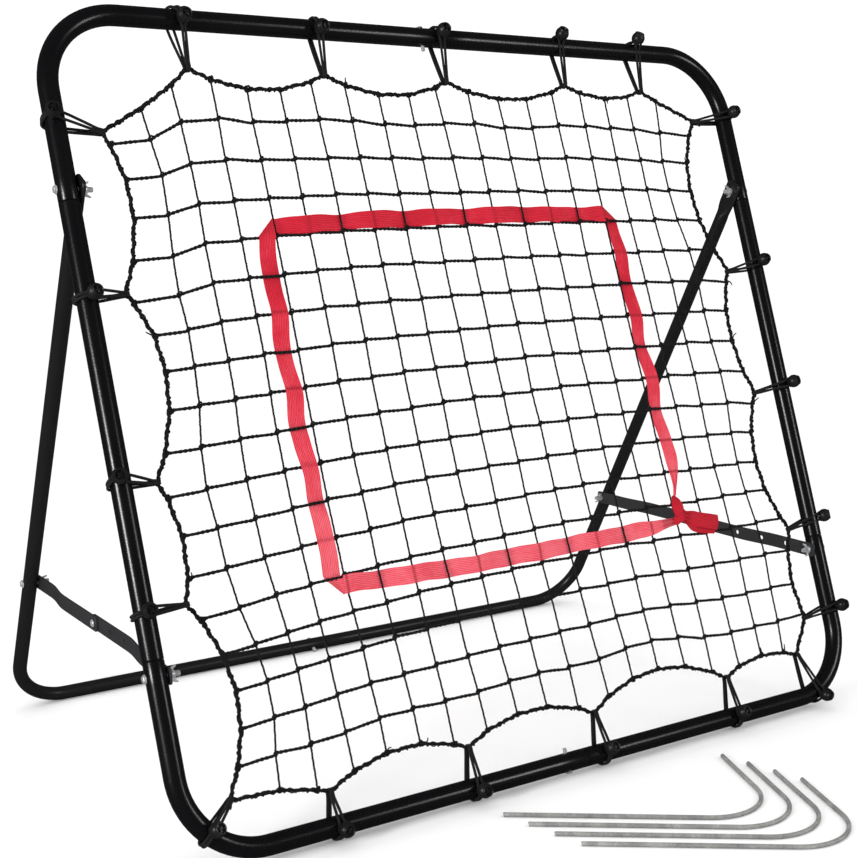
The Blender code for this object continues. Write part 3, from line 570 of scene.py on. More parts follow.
def galvanised_wire(name):
    """Dull hot-dipped zinc: small spangle, grey bloom and a rough, slightly lumpy skin."""
    m = Nodes(name, metallic=0.25)
    where = m.place()
    spangle = m.add("TexVoronoi", {"Vector": where, "Scale": 420.0}).outputs["Color"]
    spangle = m.add("RGBToBW", {0: spangle}).outputs[0]
    bloom = m.noise(where, 60.0, 5.0, 0.65)
    tone = m.math("MULTIPLY_ADD", spangle, 0.35, m.between(bloom, 0.0, 0.65, 0.3, 0.7))
    tone = m.colours(tone, (0.0, (0.20, 0.20, 0.20)), (0.5, (0.32, 0.32, 0.31)), (1.0, (0.50, 0.50, 0.48)))
    lumps = m.noise(where, 520.0, 4.0, 0.7)
    return m.finish(tone, m.between(bloom, 0.32, 0.62, 0.3, 0.7), lumps, 0.00022, 0.8)


def twisted_twine(name):
    """Twisted fibre: three strands spiral round the cord, with fine filaments along each."""
    m = Nodes(name, specular_ior_level=0.2, sheen_weight=0.04, sheen_roughness=0.4)
    u, v = m.metres()
    where = m.place()
    turn = m.plus(m.times(u, 3 / (2 * pi * UPRIGHT_R)), m.times(v, 3 / 0.009))
    loose = m.noise(where, 1500.0, 3.0, 0.7)
    filaments = m.plus(m.times(m.wave(m.times(turn, 5)), 0.10), m.times(loose, 0.35))
    height = m.plus(m.times(m.wave(turn), 0.35), filaments)
    # painted shade: the twine is darker in the grooves where its strands dip, plus random mottling
    tone = m.between(m.plus(height, m.noise(where, 35.0, 2.0)), 0.0, 1.0, 0.0, 1.5)
    tone = m.colours(tone, (0.0, (0.0025, 0.0025, 0.0028)), (1.0, (0.013, 0.013, 0.014)))
    return m.finish(tone, m.between(loose, 0.55, 0.85), height, 0.0004, 0.9)


def elastic_sheath(name):
    """The bungee's braided cover: two sets of yarns crossing round the cord."""
    m = Nodes(name, specular_ior_level=0.3, sheen_weight=0.03, sheen_roughness=0.4)
    u, v = m.metres()
    around, along = m.times(u, 4 / (2 * pi * STRAND_R)), m.times(v, 1 / 0.0021)
    left, right = m.wave(m.plus(around, along)), m.wave(m.math("SUBTRACT", around, along))
    braid = m.math("MAXIMUM", left, right)
    dust = m.noise(m.place(), 240.0, 3.0)
    tone = m.math("MULTIPLY_ADD", braid, 0.3, m.between(dust, 0.0, 0.7))
    tone = m.colours(tone, (0.0, (0.004, 0.004, 0.005)), (1.0, (0.019, 0.019, 0.021)))
    return m.finish(tone, m.between(dust, 0.55, 0.75), braid, 0.00025, 0.8)


def moulded_plastic(name):
    """The bungee balls: satin moulded plastic with a faint texture."""
    m = Nodes(name, specular_ior_level=0.5)
    where = m.place()
    grain, cloud = m.noise(where, 1800.0, 2.0), m.noise(where, 70.0, 3.0)
    tone = m.colours(cloud, (0.3, (0.005, 0.005, 0.006)), (0.75, (0.013, 0.013, 0.014)))
    return m.finish(tone, m.between(cloud, 0.26, 0.44), grain, 0.00008, 0.5)


def ribbed_webbing(name, dark, middle, light):
    """Thin knitted ribbon: wavy warp ribs, close weft picks, and paler the lower it hangs.

    The mesh's shade attribute is painted shade: it darkens the ribbon where a strand or a second layer lies
    close behind it, and over its folds.
    """
    m = Nodes(name, specular_ior_level=0.15, sheen_weight=0.03, sheen_roughness=0.45)
    u, v = m.metres()
    where = m.place()
    stretched = m.add("CombineXYZ", {"X": m.times(u, 520.0), "Y": m.times(v, 110.0)})
    wander = m.times(m.noise(stretched.outputs[0], 1.0, 2.0), 5.0)
    warp = m.math("SINE", m.plus(m.times(u, 2 * pi * RIBS / RIBBON_WIDTH), wander))
    weave = m.plus(m.times(warp, 0.44), m.times(m.wave(m.times(v, 1 / 0.00085)), 0.06))
    fade = m.noise(where, 22.0, 4.0, 0.6)
    # paler towards the bottom: fully below 0.25 m up, not at all above 0.6 m
    paler_low = m.between(m.add("SeparateXYZ", {0: where}).outputs["Z"], 1.0, 0.0, 0.25, 0.60)
    tone = m.plus(m.times(weave, 0.50), m.plus(m.between(fade, 0.0, 0.35, 0.3, 0.7), m.times(paler_low, 0.60)))
    plain = m.colours(tone, (0.0, dark), (0.40, middle), (1.0, light))
    # painted shade: the ribbon turns a darker red where its shade attribute is set
    shade = m.times(m.add("Attribute", attribute_name="shade").outputs["Fac"], 0.75)
    shaded = m.add("Mix", {"Factor": shade, 6: plain, 7: (0.20, 0.004, 0.010, 1)}, data_type="RGBA",
                   clamp_factor=True)
    return m.finish(shaded.outputs[2], m.between(fade, 0.62, 0.82), weave, 0.00022, 0.9)


BLACK_COAT = powder_coat("Black powder coat", (0.0018, 0.0018, 0.0024), (0.0045, 0.0045, 0.0055), 0.22, 0.5)
# painted light: a lighter, rougher copy of the black coat for the rear frame, standing in for the brighter
# light that its tubes catch
LIGHTENED_REAR_COAT = powder_coat("Black powder coat lightened for painted light", (0.0060, 0.0060, 0.0064), (0.0130, 0.0130, 0.0135),
                        0.30, 0.5)
GREY_COAT = powder_coat("Grey powder coat", (0.022, 0.022, 0.024), (0.040, 0.040, 0.043), 0.46, 0.4)
ZINC = plated_steel("Zinc plated steel")
WIRE = galvanised_wire("Galvanised wire")
TWINE = twisted_twine("Net twine")
SHEATH = elastic_sheath("Bungee sheath")
BALL = moulded_plastic("Bungee ball")
WEBBING = ribbed_webbing("Red webbing", (0.42, 0.006, 0.018), (0.62, 0.018, 0.042), (0.76, 0.150, 0.185))
# painted shade: a darker copy of the red webbing for the knot and its two tail ends
SHADED_WEBBING = ribbed_webbing("Red webbing in painted shade", (0.22, 0.0004, 0.005), (0.36, 0.001, 0.011),
                              (0.50, 0.012, 0.028))


# ---------------- tubes
def tube_shell(place, stations):
    """A round tube in the x-y plane: stations are (centre, outward, radius)."""
    rings, lengths = [], [0.0]
    for i, (centre, outward, radius) in enumerate(stations):
        section = circle(radius, TUBE_SIDES)
        rings.append(np.column_stack([centre + outward * section[:, :1], section[:, 1]]))
        if i:
            step = np.linalg.norm(centre - stations[i - 1][0]) + abs(radius - stations[i - 1][2])
            lengths.append(lengths[-1] + max(step, 1e-5))
    shell = Shell(place)
    shell.rings(rings, np.array(lengths), girth=2 * pi * TUBE_R)
    return shell


def straight(start, end, outward, radius, count):
    """Stations from start to end, both included."""
    start, end = np.asarray(start, float), np.asarray(end, float)
    return [(start + (end - start) * t, np.asarray(outward, float), radius)
            for t in np.linspace(0, 1, count)]


def bend(centre, side, up, bend_radius, radius, count=22):
    """A quarter turn from along x to along y; the tube goes a little slimmer in it."""
    stations = []
    for a in pi / 2 * np.arange(count + 1) / count:
        outward = np.array([side * sin(a), up * cos(a)])
        squeeze = 1 - OVAL * sin(2 * a)
        stations.append((np.asarray(centre) + outward * bend_radius, outward, radius * squeeze))
    return stations


def tube_end(spigot, centre, outward, way, radius, wall, first=False):
    """A tube's rim, then its bore or the slimmer spigot that slides into the next tube."""
    centre, outward, way = (np.asarray(v, float) for v in (centre, outward, way))
    slim = radius - wall - GAP - 0.0001
    marks = [(-TUBE_LIP, radius), (-TUBE_LIP * 0.3, radius - TUBE_LIP * 0.3), (0, radius - TUBE_LIP)]
    if spigot:
        marks += [(0.0002, slim), (SPIGOT_LENGTH - 0.001, slim), (SPIGOT_LENGTH, slim - 0.0006)]
    else:
        marks += [(0, radius - wall), (-BORE_DEPTH, radius - wall)]
    stations = [(centre + way * along, outward, r) for along, r in marks]
    return stations[::-1] if first else stations


def corner_tube(place, side, up, near, far, bend_radius, radius, wall, far_spigot):
    """An L from near, at the middle of the frame, round its corner to far, up its side."""
    centre = (side * (abs(far[0]) - bend_radius), near[1] - up * bend_radius)
    turn = bend(centre, side, up, bend_radius, radius)
    arm = straight(near, turn[0][0], (0, up), radius, 10)[1:-1]
    post = straight(turn[-1][0], far, (side, 0), radius, 6)[1:-1]
    start = tube_end(side > 0, near, (0, up), (-side, 0), radius, wall, True)
    finish = tube_end(far_spigot, far, (side, 0), (0, -up), radius, wall)
    return tube_shell(place, start + arm + turn + post + finish)


def front_tubes():
    for side, label in SIDES:
        arm_x = MID_SEAM_X + (GAP * side if side < 0 else 0.0)
        x = side * HALF_WIDTH
        for up, end, edge, seam in ((1, "top", FRAME_HEIGHT, UPPER_SEAM), (-1, "bottom", 0.0, LOWER_SEAM)):
            shell = corner_tube(FRONT, side, up, (arm_x, edge), (x, seam + up * GAP), CORNER_RADIUS, TUBE_R,
                                WALL, False)
            shell.node(f"front_{end}_{label}_tube", [BLACK_COAT], "front_frame", "black_powder_coat")
        low = tube_end(True, (x, LOWER_SEAM), (side, 0), (0, -1), TUBE_R, WALL, True)
        high = tube_end(True, (x, UPPER_SEAM), (side, 0), (0, 1), TUBE_R, WALL)
        middle = straight((x, LOWER_SEAM + 0.002), (x, UPPER_SEAM - 0.002), (side, 0), TUBE_R, 12)
        shell = tube_shell(FRONT, low + middle + high)
        shell.node(f"front_{label}_side_tube", [BLACK_COAT], "front_frame", "black_powder_coat")


# ---------------- rear frame
def pressed_ring(share):
    """A leg's section, from round (share 0) to the flat stadium it is pressed into."""
    thick, reach = FLAT_THICKNESS / 2, (FLAT_WIDTH - FLAT_THICKNESS) / 2
    half_turn = 2 * reach + pi * thick
    flat_ring = []
    for at in (np.arange(TUBE_SIDES) + 0.5) / TUBE_SIDES * 2 * half_turn:
        sign = 1 if at < half_turn else -1
        at %= half_turn
        b = np.clip((at - reach) / thick, 0, pi)
        z = at if at < reach else reach - max(0.0, at - reach - pi * thick)
        flat_ring.append((sign * thick * cos(b), sign * (z + thick * sin(b))))
    round_ring = circle(REAR_TUBE_R, TUBE_SIDES, pi / TUBE_SIDES)
    return round_ring + (np.array(flat_ring) - round_ring) * share


def rear_legs():
    flat_x = HALF_WIDTH - TUBE_R - GAP - FLAT_THICKNESS / 2
    bottom = -REAR_SEAM + GAP
    bore = REAR_TUBE_R - REAR_WALL
    taper_start = -FLAT_LENGTH - FLAT_TAPER
    # (height, radius) of the bore and the rim, then (height, pressed share, width) up the leg
    rim = ((bottom + BORE_DEPTH, bore), (bottom, bore), (bottom, REAR_TUBE_R - TUBE_LIP),
           (bottom + 0.00015, REAR_TUBE_R - 0.00015), (bottom + TUBE_LIP, REAR_TUBE_R))
    stations = [(y, 0.0, 1.0) for y in np.linspace(bottom + 0.03, taper_start, 10)]
    stations += [(y, smooth_step((y - taper_start) / FLAT_TAPER), 1.0)
                 for y in np.linspace(taper_start, -FLAT_LENGTH, 13)[1:]]
    stations += [(y, 1.0, 1.0) for y in (-0.009, 0.0, FLAT_END - 0.006)]
    stations += [(FLAT_END - 0.0025, 1.0, 0.86), (FLAT_END - 0.0007, 1.0, 0.72), (FLAT_END, 1.0, 0.62)]
    for side, label in SIDES:
        rings, lengths = [], []
        for y, radius in rim:
            x, z = circle(radius, TUBE_SIDES, pi / TUBE_SIDES).T
            rings.append(np.stack([side * (REAR_HALF_WIDTH + x), np.full(TUBE_SIDES, y), z], axis=1))
            lengths.append(abs(y - bottom) * (-1 if radius == bore else 1))
        for y, share, width in stations:
            x, z = pressed_ring(share).T
            if width < 0.7:  # the very end of the pressed flat is rounded off
                x = x * 0.6
            x = x + REAR_HALF_WIDTH + (flat_x - REAR_HALF_WIDTH) * share
            rings.append(np.stack([side * x, np.full(TUBE_SIDES, y), z * width], axis=1))
            lengths.append(y - bottom)
        lengths = np.maximum.accumulate(np.array(lengths) + np.arange(len(lengths)) * 1e-6)
        shell = Shell(REAR)
        shell.rings(rings, lengths, girth=2 * pi * REAR_TUBE_R)
        shell.node(f"rear_{label}_leg_tube", [LIGHTENED_REAR_COAT], "rear_frame", "black_powder_coat", sharp=50)


def rear_corners():
    for side, label in SIDES:
        near = (GAP * side if side < 0 else 0.0, -LEG)
        shell = corner_tube(REAR, side, -1, near, (side * REAR_HALF_WIDTH, -REAR_SEAM), REAR_CORNER_RADIUS,
                            REAR_TUBE_R, REAR_WALL, True)
        shell.node(f"rear_{label}_corner_tube", [LIGHTENED_REAR_COAT], "rear_frame", "black_powder_coat")


# ---------------- strut bars
def bar_outline(start, end, half, corner, steps=5):
    """A rectangle from y = start to end with rounded corners, anticlockwise."""
    points = []
    for cx, cy, a0 in ((half - corner, end - corner, 0), (-half + corner, end - corner, pi / 2),
                       (-half + corner, start + corner, pi), (half - corner, start + corner, 3 * pi / 2)):
        for i in range(steps + 1):
            a = a0 + pi / 2 * i / steps
            points.append((cx + corner * cos(a), cy + corner * sin(a)))
    return points


def plate(outline, holes, thickness, edge):
    """A flat plate with rounded edges and holes, as a mesh with its thickness along z."""
    curve = bpy.data.curves.new("plate", "CURVE")
    curve.dimensions = "2D"
    curve.fill_mode = "BOTH"
    curve.extrude = thickness / 2 - edge
    curve.bevel_depth = edge
    curve.bevel_resolution = 2
    curve.offset = -edge
    for loop in [outline, *holes]:
        spline = curve.splines.new("POLY")
        spline.points.add(len(loop) - 1)
        for point, (x, y) in zip(spline.points, loop):
            point.co = (x, y, 0, 1)
        spline.use_cyclic_u = True
    obj = new_object("plate", curve)
    mesh = bpy.data.meshes.new_from_object(obj.evaluated_get(bpy.context.evaluated_depsgraph_get()))
    bpy.data.objects.remove(obj)
    bpy.data.curves.remove(curve)
    return mesh


def strut_bar(node, place, length, outer, bends, side, hole_count):
    """A bar along y whose outer face moves from the first of outer to the second between bends."""
    low, high = min(0, length) - BAR_WIDTH / 2, max(0, length) + BAR_WIDTH / 2
    holes = [circle(BAR_HOLE_R, 20) + (0, i * BAR_PITCH) for i in range(1, hole_count + 1)]
    mesh = plate(bar_outline(low, high, BAR_WIDTH / 2, BAR_CORNER), holes, BAR_THICKNESS, BAR_EDGE)
    bm = bmesh.new()
    bm.from_mesh(mesh)
    bpy.data.meshes.remove(mesh)
    bmesh.ops.remove_doubles(bm, verts=bm.verts, dist=1e-6)
    for y in np.linspace(*bends, 9):
        geometry = bm.verts[:] + bm.edges[:] + bm.faces[:]
        bmesh.ops.bisect_plane(bm, geom=geometry, plane_co=(0, y, 0), plane_no=(0, 1, 0))
    bm.verts.index_update()
    points = np.array([v.co for v in bm.verts])
    faces = [[v.index for v in f.verts] for f in bm.faces]
    bm.free()
    share = smooth_step((points[:, 1] - bends[0]) / (bends[1] - bends[0]))
    face = outer[0] + (outer[1] - outer[0]) * share
    placed = np.stack([side * (face - BAR_THICKNESS / 2 + points[:, 2]), points[:, 1], points[:, 0]], axis=1)
    shell = Shell(place)
    shell.add_faces(placed, faces, side > 0, (2, 1))
    shell.node(node, [GREY_COAT], node, "grey_powder_coat", sharp=30)


def struts():
    leg_side = REAR_HALF_WIDTH - REAR_TUBE_R - GAP
    rear_meet = leg_side + BAR_SHIFT
    front_meet = rear_meet - BAR_THICKNESS - GAP
    sunk = BAR_THICKNESS * 0.9
    for side, label in SIDES:
        front, rear = f"{label}_front_strut", f"{label}_rear_strut"
        strut_bar(front, FRONT_BAR_PLACE, FRONT_BAR, (HALF_WIDTH - TUBE_R - GAP, front_meet), (0.06, 0.12),
                  side, BAR_HOLES - 1)
        strut_bar(rear, REAR_BAR_PLACE, -REAR_BAR, (leg_side, rear_meet), (-0.05, -0.11), side, 0)
        head = Shell(REAR_BAR_PLACE)
        head.lathe([(-BAR_THICKNESS, SMALL_BOLT_R), (GAP, SMALL_BOLT_R), (GAP, 0.0042), (0.0006, 0.0046),
                    (0.0014, 0.0044), (0.0022, 0.0034), (0.0026, 0.0018), (0.0027, 0.0002)],
                   (side * rear_meet, -REAR_BAR, 0), (side, 0, 0))
        head.node(f"{label}_strut_bolt", [ZINC], rear, "zinc_plated_steel")
        nut = Shell(FRONT_BAR_PLACE)
        back = side * (front_meet - BAR_THICKNESS)
        nut.lathe([(GAP, 0.0040), (0.0008, 0.0046), (0.0038, 0.0046), (0.0043, 0.0041), (0.0043, 0.0026)],
                  (back, FRONT_BAR, 0), (-side, 0, 0), sides=6)
        nut.thread((back + side * sunk, FRONT_BAR, 0), (-side, 0, 0), 0.0064 + sunk, SMALL_BOLT_R)
        nut.node(f"{label}_strut_nut", [ZINC], front, "zinc_plated_steel", sharp=25)


# ---------------- bolts and wing nuts
def bolt(node, side, seat, tip, place, height, body):
    """A domed hex-washer head outside seat, a shank, and a threaded end in to tip."""
    shell = Shell(place)
    centre, out = (side * seat, height, 0), (side, 0, 0)
    shell.lathe([(-SHANK, BOLT_R), (0.0, BOLT_R), (0.0, HEAD_R - 0.0002), (0.0003, HEAD_R), (0.0008, HEAD_R),
                 (0.0011, HEAD_R - 0.0008), (0.0011, HEAD_R - 0.0011)], centre, out)
    shell.lathe([(0.0008, 0.0039), (0.0010, 0.0041), (0.0024, 0.0041), (0.0029, 0.0036), (0.0032, 0.0024),
                 (HEAD_HEIGHT, 0.0006)], centre, out, sides=6)
    start = seat - SHANK
    shell.thread((side * start, height, 0), (-side, 0, 0), start - tip, BOLT_R)
    shell.node(node, [ZINC], body, "zinc_plated_steel", sharp=30)


def wing_outline(direction):
    """One wing in the nut's (y, x) plane: a neck, a rounded blade and a hollow inner edge."""
    neck = [(0.0034, 0.0006), (0.0055, 0.0008), (0.0072, 0.0022), (0.0081, 0.0042)]
    tip = [(0.0085 + 0.0004 * cos(a), 0.0075 + 0.0013 * sin(a)) for a in np.linspace(-1.2, 1.7, 6)]
    inner = [(0.0074, 0.0084), (0.0066, 0.0071), (0.0056, 0.0056), (0.0046, 0.0046), (0.0034, 0.0042)]
    points = [(direction * y, x) for y, x in neck + tip + inner]
    return points if direction > 0 else points[::-1]


def wing_nut(node, side, place, height):
    """Seated where the CAD's nut is, with its wings across the frame's y."""
    low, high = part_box(node)
    seat = high.x if side > 0 else -low.x
    shell = Shell(place)
    shell.lathe([(0.0, 0.0034), (0.0, 0.0046), (0.0004, 0.0049), (0.0030, 0.0049), (0.0046, 0.0046),
                 (0.0055, 0.0041), (0.0055, 0.0034), (0.0050, 0.0031)],
                (side * seat, height, 0), (-side, 0, 0))
    for direction in (-1, 1):
        mesh = plate(wing_outline(direction), [], WING_THICKNESS, WING_EDGE)
        points = np.array([v.co for v in mesh.vertices])
        placed = np.stack([side * (seat - points[:, 1]), height + points[:, 0], points[:, 2]], axis=1)
        shell.add_faces(placed, [list(p.vertices) for p in mesh.polygons], side < 0, (1, 0))
        bpy.data.meshes.remove(mesh)
    shell.node(node, [ZINC], node, "zinc_plated_steel", sharp=35)


def fasteners():
    outer, inner = HALF_WIDTH + TUBE_R + GAP, HALF_WIDTH - TUBE_R - GAP
    rear_outer, rear_inner = REAR_HALF_WIDTH + REAR_TUBE_R + GAP, REAR_HALF_WIDTH - REAR_TUBE_R - GAP
    fittings = (("pivot", FRONT, "front_frame", PIVOT_HEIGHT, outer, inner - FLAT_THICKNESS),
                ("front_strut", FRONT, "front_frame", STRUT_HEIGHT, outer, inner - BAR_THICKNESS),
                ("rear_strut", REAR, "rear_frame", -REAR_BOLT, rear_outer, rear_inner - BAR_THICKNESS))
    for side, label in SIDES:
        for what, place, body, height, seat, inside in fittings:
            bolt(f"{label}_{what}_bolt", side, seat, inside - BOLT_TIP, place, height, body)
        for what, place, _, height, _, _ in fittings:
            wing_nut(f"{label}_{what}_wing_nut", side, place, height)


def joint_screws():
    """Pan-headed screws through the sleeved joints, threaded at the tip."""
    for node, place, body, shank in (("top_joint_screw", FRONT, "front_frame", 0.0300),
                                     ("bottom_joint_screw", FRONT, "front_frame", 0.0300),
                                     ("rear_joint_screw", REAR, "rear_frame", 0.0240)):
        points = node_points(node, place)
        low, high = points.min(axis=0), points.max(axis=0)
        centre = (low + high) / 2
        k = int(np.argmax(high - low))
        radii = np.linalg.norm(np.delete(points - centre, k, axis=1), axis=1)
        wide = points[radii > SCREW_HEAD_R]
        head_high = wide[:, k].mean() > centre[k]
        way = np.zeros(3)
        way[k] = 1.0 if head_high else -1.0
        centre[k] = high[k] if head_high else low[k]
        shell = Shell(place)
        shell.lathe([(-shank, SMALL_BOLT_R - 0.0002), (-0.0021, SMALL_BOLT_R), (-0.0021, 0.0043),
                     (-0.0017, 0.0045), (-0.0011, 0.0043), (-0.0005, 0.0034), (-0.0001, 0.0018),
                     (0.0, 0.0002)], centre, way)
        start = centre - way * ((high - low)[k] - SCREW_TIP)
        shell.thread(start, -way, SCREW_TIP, SMALL_BOLT_R)
        shell.node(node, [ZINC], body, "zinc_plated_steel", sharp=30)


# ---------------- ball bungees
def bungee_half(place, side, spread, parting):
    """Half of one elastic loop, from the ball's foot to the middle of the turn at its neck.

    It leaves the ball's foot, passes outside and behind the tube to the net's edge cord,
    goes round that and comes back in front of the tube to the ball's neck.  The halves lie
    spread to each side behind the tube, and parting to each side just below the ball.
    """
    anchor, across, end, seat, roll = place
    reach = np.linalg.norm(end - anchor)
    inward = (end - anchor) / reach
    along = np.cross(OUT, inward)
    slip = (seat - anchor) @ along
    axis = across * sin(roll) + OUT * cos(roll)
    wrap = TUBE_R + CORD_CLEARANCE + STRAND_R
    rim = EDGE_R + LASHING_R + STRAND_R
    tangent = acos(wrap / (reach - EDGE_NEAR))

    def point(u, v, z):
        return anchor + inward * u + along * (v * side) + OUT * z

    half = [seat + axis * (TUBE_R + FOOT_HEIGHT) + along * (side * FOOT_APART)]
    start = pi / 2 - roll + FOOT_TURN
    for t in np.linspace(0, 1, 14):
        a = start + (2 * pi - tangent - start) * t
        apart = STRAND_R + (spread - STRAND_R) * smooth_step(t * 3)
        slipped = along * (slip * (1 - smooth_step(t * 1.7)))
        half.append(point(wrap * cos(a), apart, wrap * sin(a)) + slipped)
    half += [point(reach + u, v, rim * z) for u, v, z in EDGE_TURN]
    neck = seat + axis * (TUBE_R + NECK_HEIGHT)
    down = across * cos(roll) - OUT * sin(roll)
    beside = np.cross(axis, down) * np.sign(np.cross(axis, down) @ along) * side
    toward = (half[-1] - neck) / np.linalg.norm(half[-1] - neck)
    below = neck + toward * PARTING_DROP + beside * parting
    half += [half[-1] + (below - half[-1]) * share for share in (0.25, 0.50, 0.75, 1.0)]
    for a in np.radians((62, 90, 118, 150, 180)):
        half.append(neck + (down * cos(a) + beside * sin(a)) * NECK_R)
    return half


def ball_profile():
    """From the foot on the tube to the sunk face, as (height, radius)."""
    points = [(0.0000, 0.0030), (0.0004, 0.0038), (0.0030, 0.0042), (0.0040, 0.0060)]
    for a in np.linspace(-0.55, 0.74, 12):
        points.append((BALL_R + BALL_R * sin(a), BALL_R * cos(a)))
    points += [(0.0159, 0.0064), (0.0164, 0.0060), (0.0164, 0.0055), (0.0159, 0.0051), (0.0150, 0.0048),
               (0.0134, 0.0046), (0.0131, 0.0043), (0.0131, 0.0002)]
    return points


def add_cross(shell, centre, axis, side_way, slot):
    """The two crossing ribs in the ball's sunk face."""
    other = np.cross(axis, side_way)
    for way, width in ((side_way, other), (other, side_way)):
        rings = []
        for t, top in ((-0.0045, 0.0012), (-0.0038, 0.0018), (-0.0012, 0.0022), (0.0012, 0.0022),
                       (0.0038, 0.0018), (0.0045, 0.0012)):
            base = centre + way * t
            rings.append([base - width * 0.0009, base - width * 0.0006 + axis * top,
                          base + width * 0.0006 + axis * top, base + width * 0.0009])
        shell.rings(rings, np.arange(6) * 0.0018, slot=slot)


def bungee(name, place):
    anchor, across, end, seat, roll = place
    spread = STRAND_R + RANDOM.uniform(0.0, 0.0003)
    parting = PARTINGS.get(name, PARTINGS.get(name.split("_")[0], PARTING))
    if name == "top_1":
        spread = WIDE_SPREAD
    right, left = (bungee_half(place, side, spread, parting) for side in (1, -1))
    path = eased(np.array(right + left[-2::-1]), 0.0020)
    shell = Shell(FRONT)
    shell.cord(path, STRAND_R, 8)
    axis = across * sin(roll) + OUT * cos(roll)
    foot = seat + axis * (TUBE_R + GAP)
    shell.lathe(ball_profile(), foot, axis, sides=28, slot=1)
    turn = RANDOM.uniform(0, pi / 2)
    first = np.cross(axis, across)
    second = np.cross(axis, first)
    add_cross(shell, foot + axis * 0.0130, axis, first * cos(turn) + second * sin(turn), 1)
    shell.node(f"ball_bungee_{name}", [SHEATH, BALL], "front_frame", "black_ball_bungee", sharp=45)


def flat(x, y):
    """A place in FRONT's x-y plane."""
    return np.array([x, y, 0.0])


def bungee_places():
    """Each bungee's name and its (anchor, way over the tube, net end, ball's seat, roll)."""
    places = {}
    for row, bungees, y, up in (("top", TOP_BUNGEES, FRAME_HEIGHT, -1), ("bottom", BOTTOM_BUNGEES, 0.0, 1)):
        for i, (x, end_x, reach, ball_x, roll) in enumerate(bungees, start=1):
            places[f"{row}_{i}"] = (flat(x, y), flat(0, up), flat(end_x, y + up * reach), flat(ball_x, y),
                                    radians(roll))
    for row, bungees, side in (("left", LEFT_BUNGEES, -1), ("right", RIGHT_BUNGEES, 1)):
        x = side * HALF_WIDTH
        for i, (y, end_y, reach, ball_y, roll) in enumerate(bungees, start=1):
            places[f"{row}_{i}"] = (flat(x, y), flat(-side, 0), flat(x - side * reach, end_y),
                                    flat(x, ball_y), radians(roll))
    for label, (side, degrees, reach, slip, roll) in CORNER_BUNGEES.items():
        turn = radians(degrees)
        outward = flat(side * sin(turn), -cos(turn))
        anchor = flat(side * (HALF_WIDTH - CORNER_RADIUS), CORNER_RADIUS) + outward * CORNER_RADIUS
        seat = anchor + flat(outward[1], -outward[0]) * slip
        places[f"corner_{label}"] = (anchor, -outward, anchor - outward * reach, seat, radians(roll))
    return places


# ---------------- net
def drag_weights(t):
    """How much each of the evenly spaced marks of DRAG counts at t, for a smooth surface."""
    marks = np.linspace(0.05, 0.95, len(DRAG))
    return np.array([np.prod([(t - other) / (mark - other) for other in marks if other != mark])
                     for mark in marks])


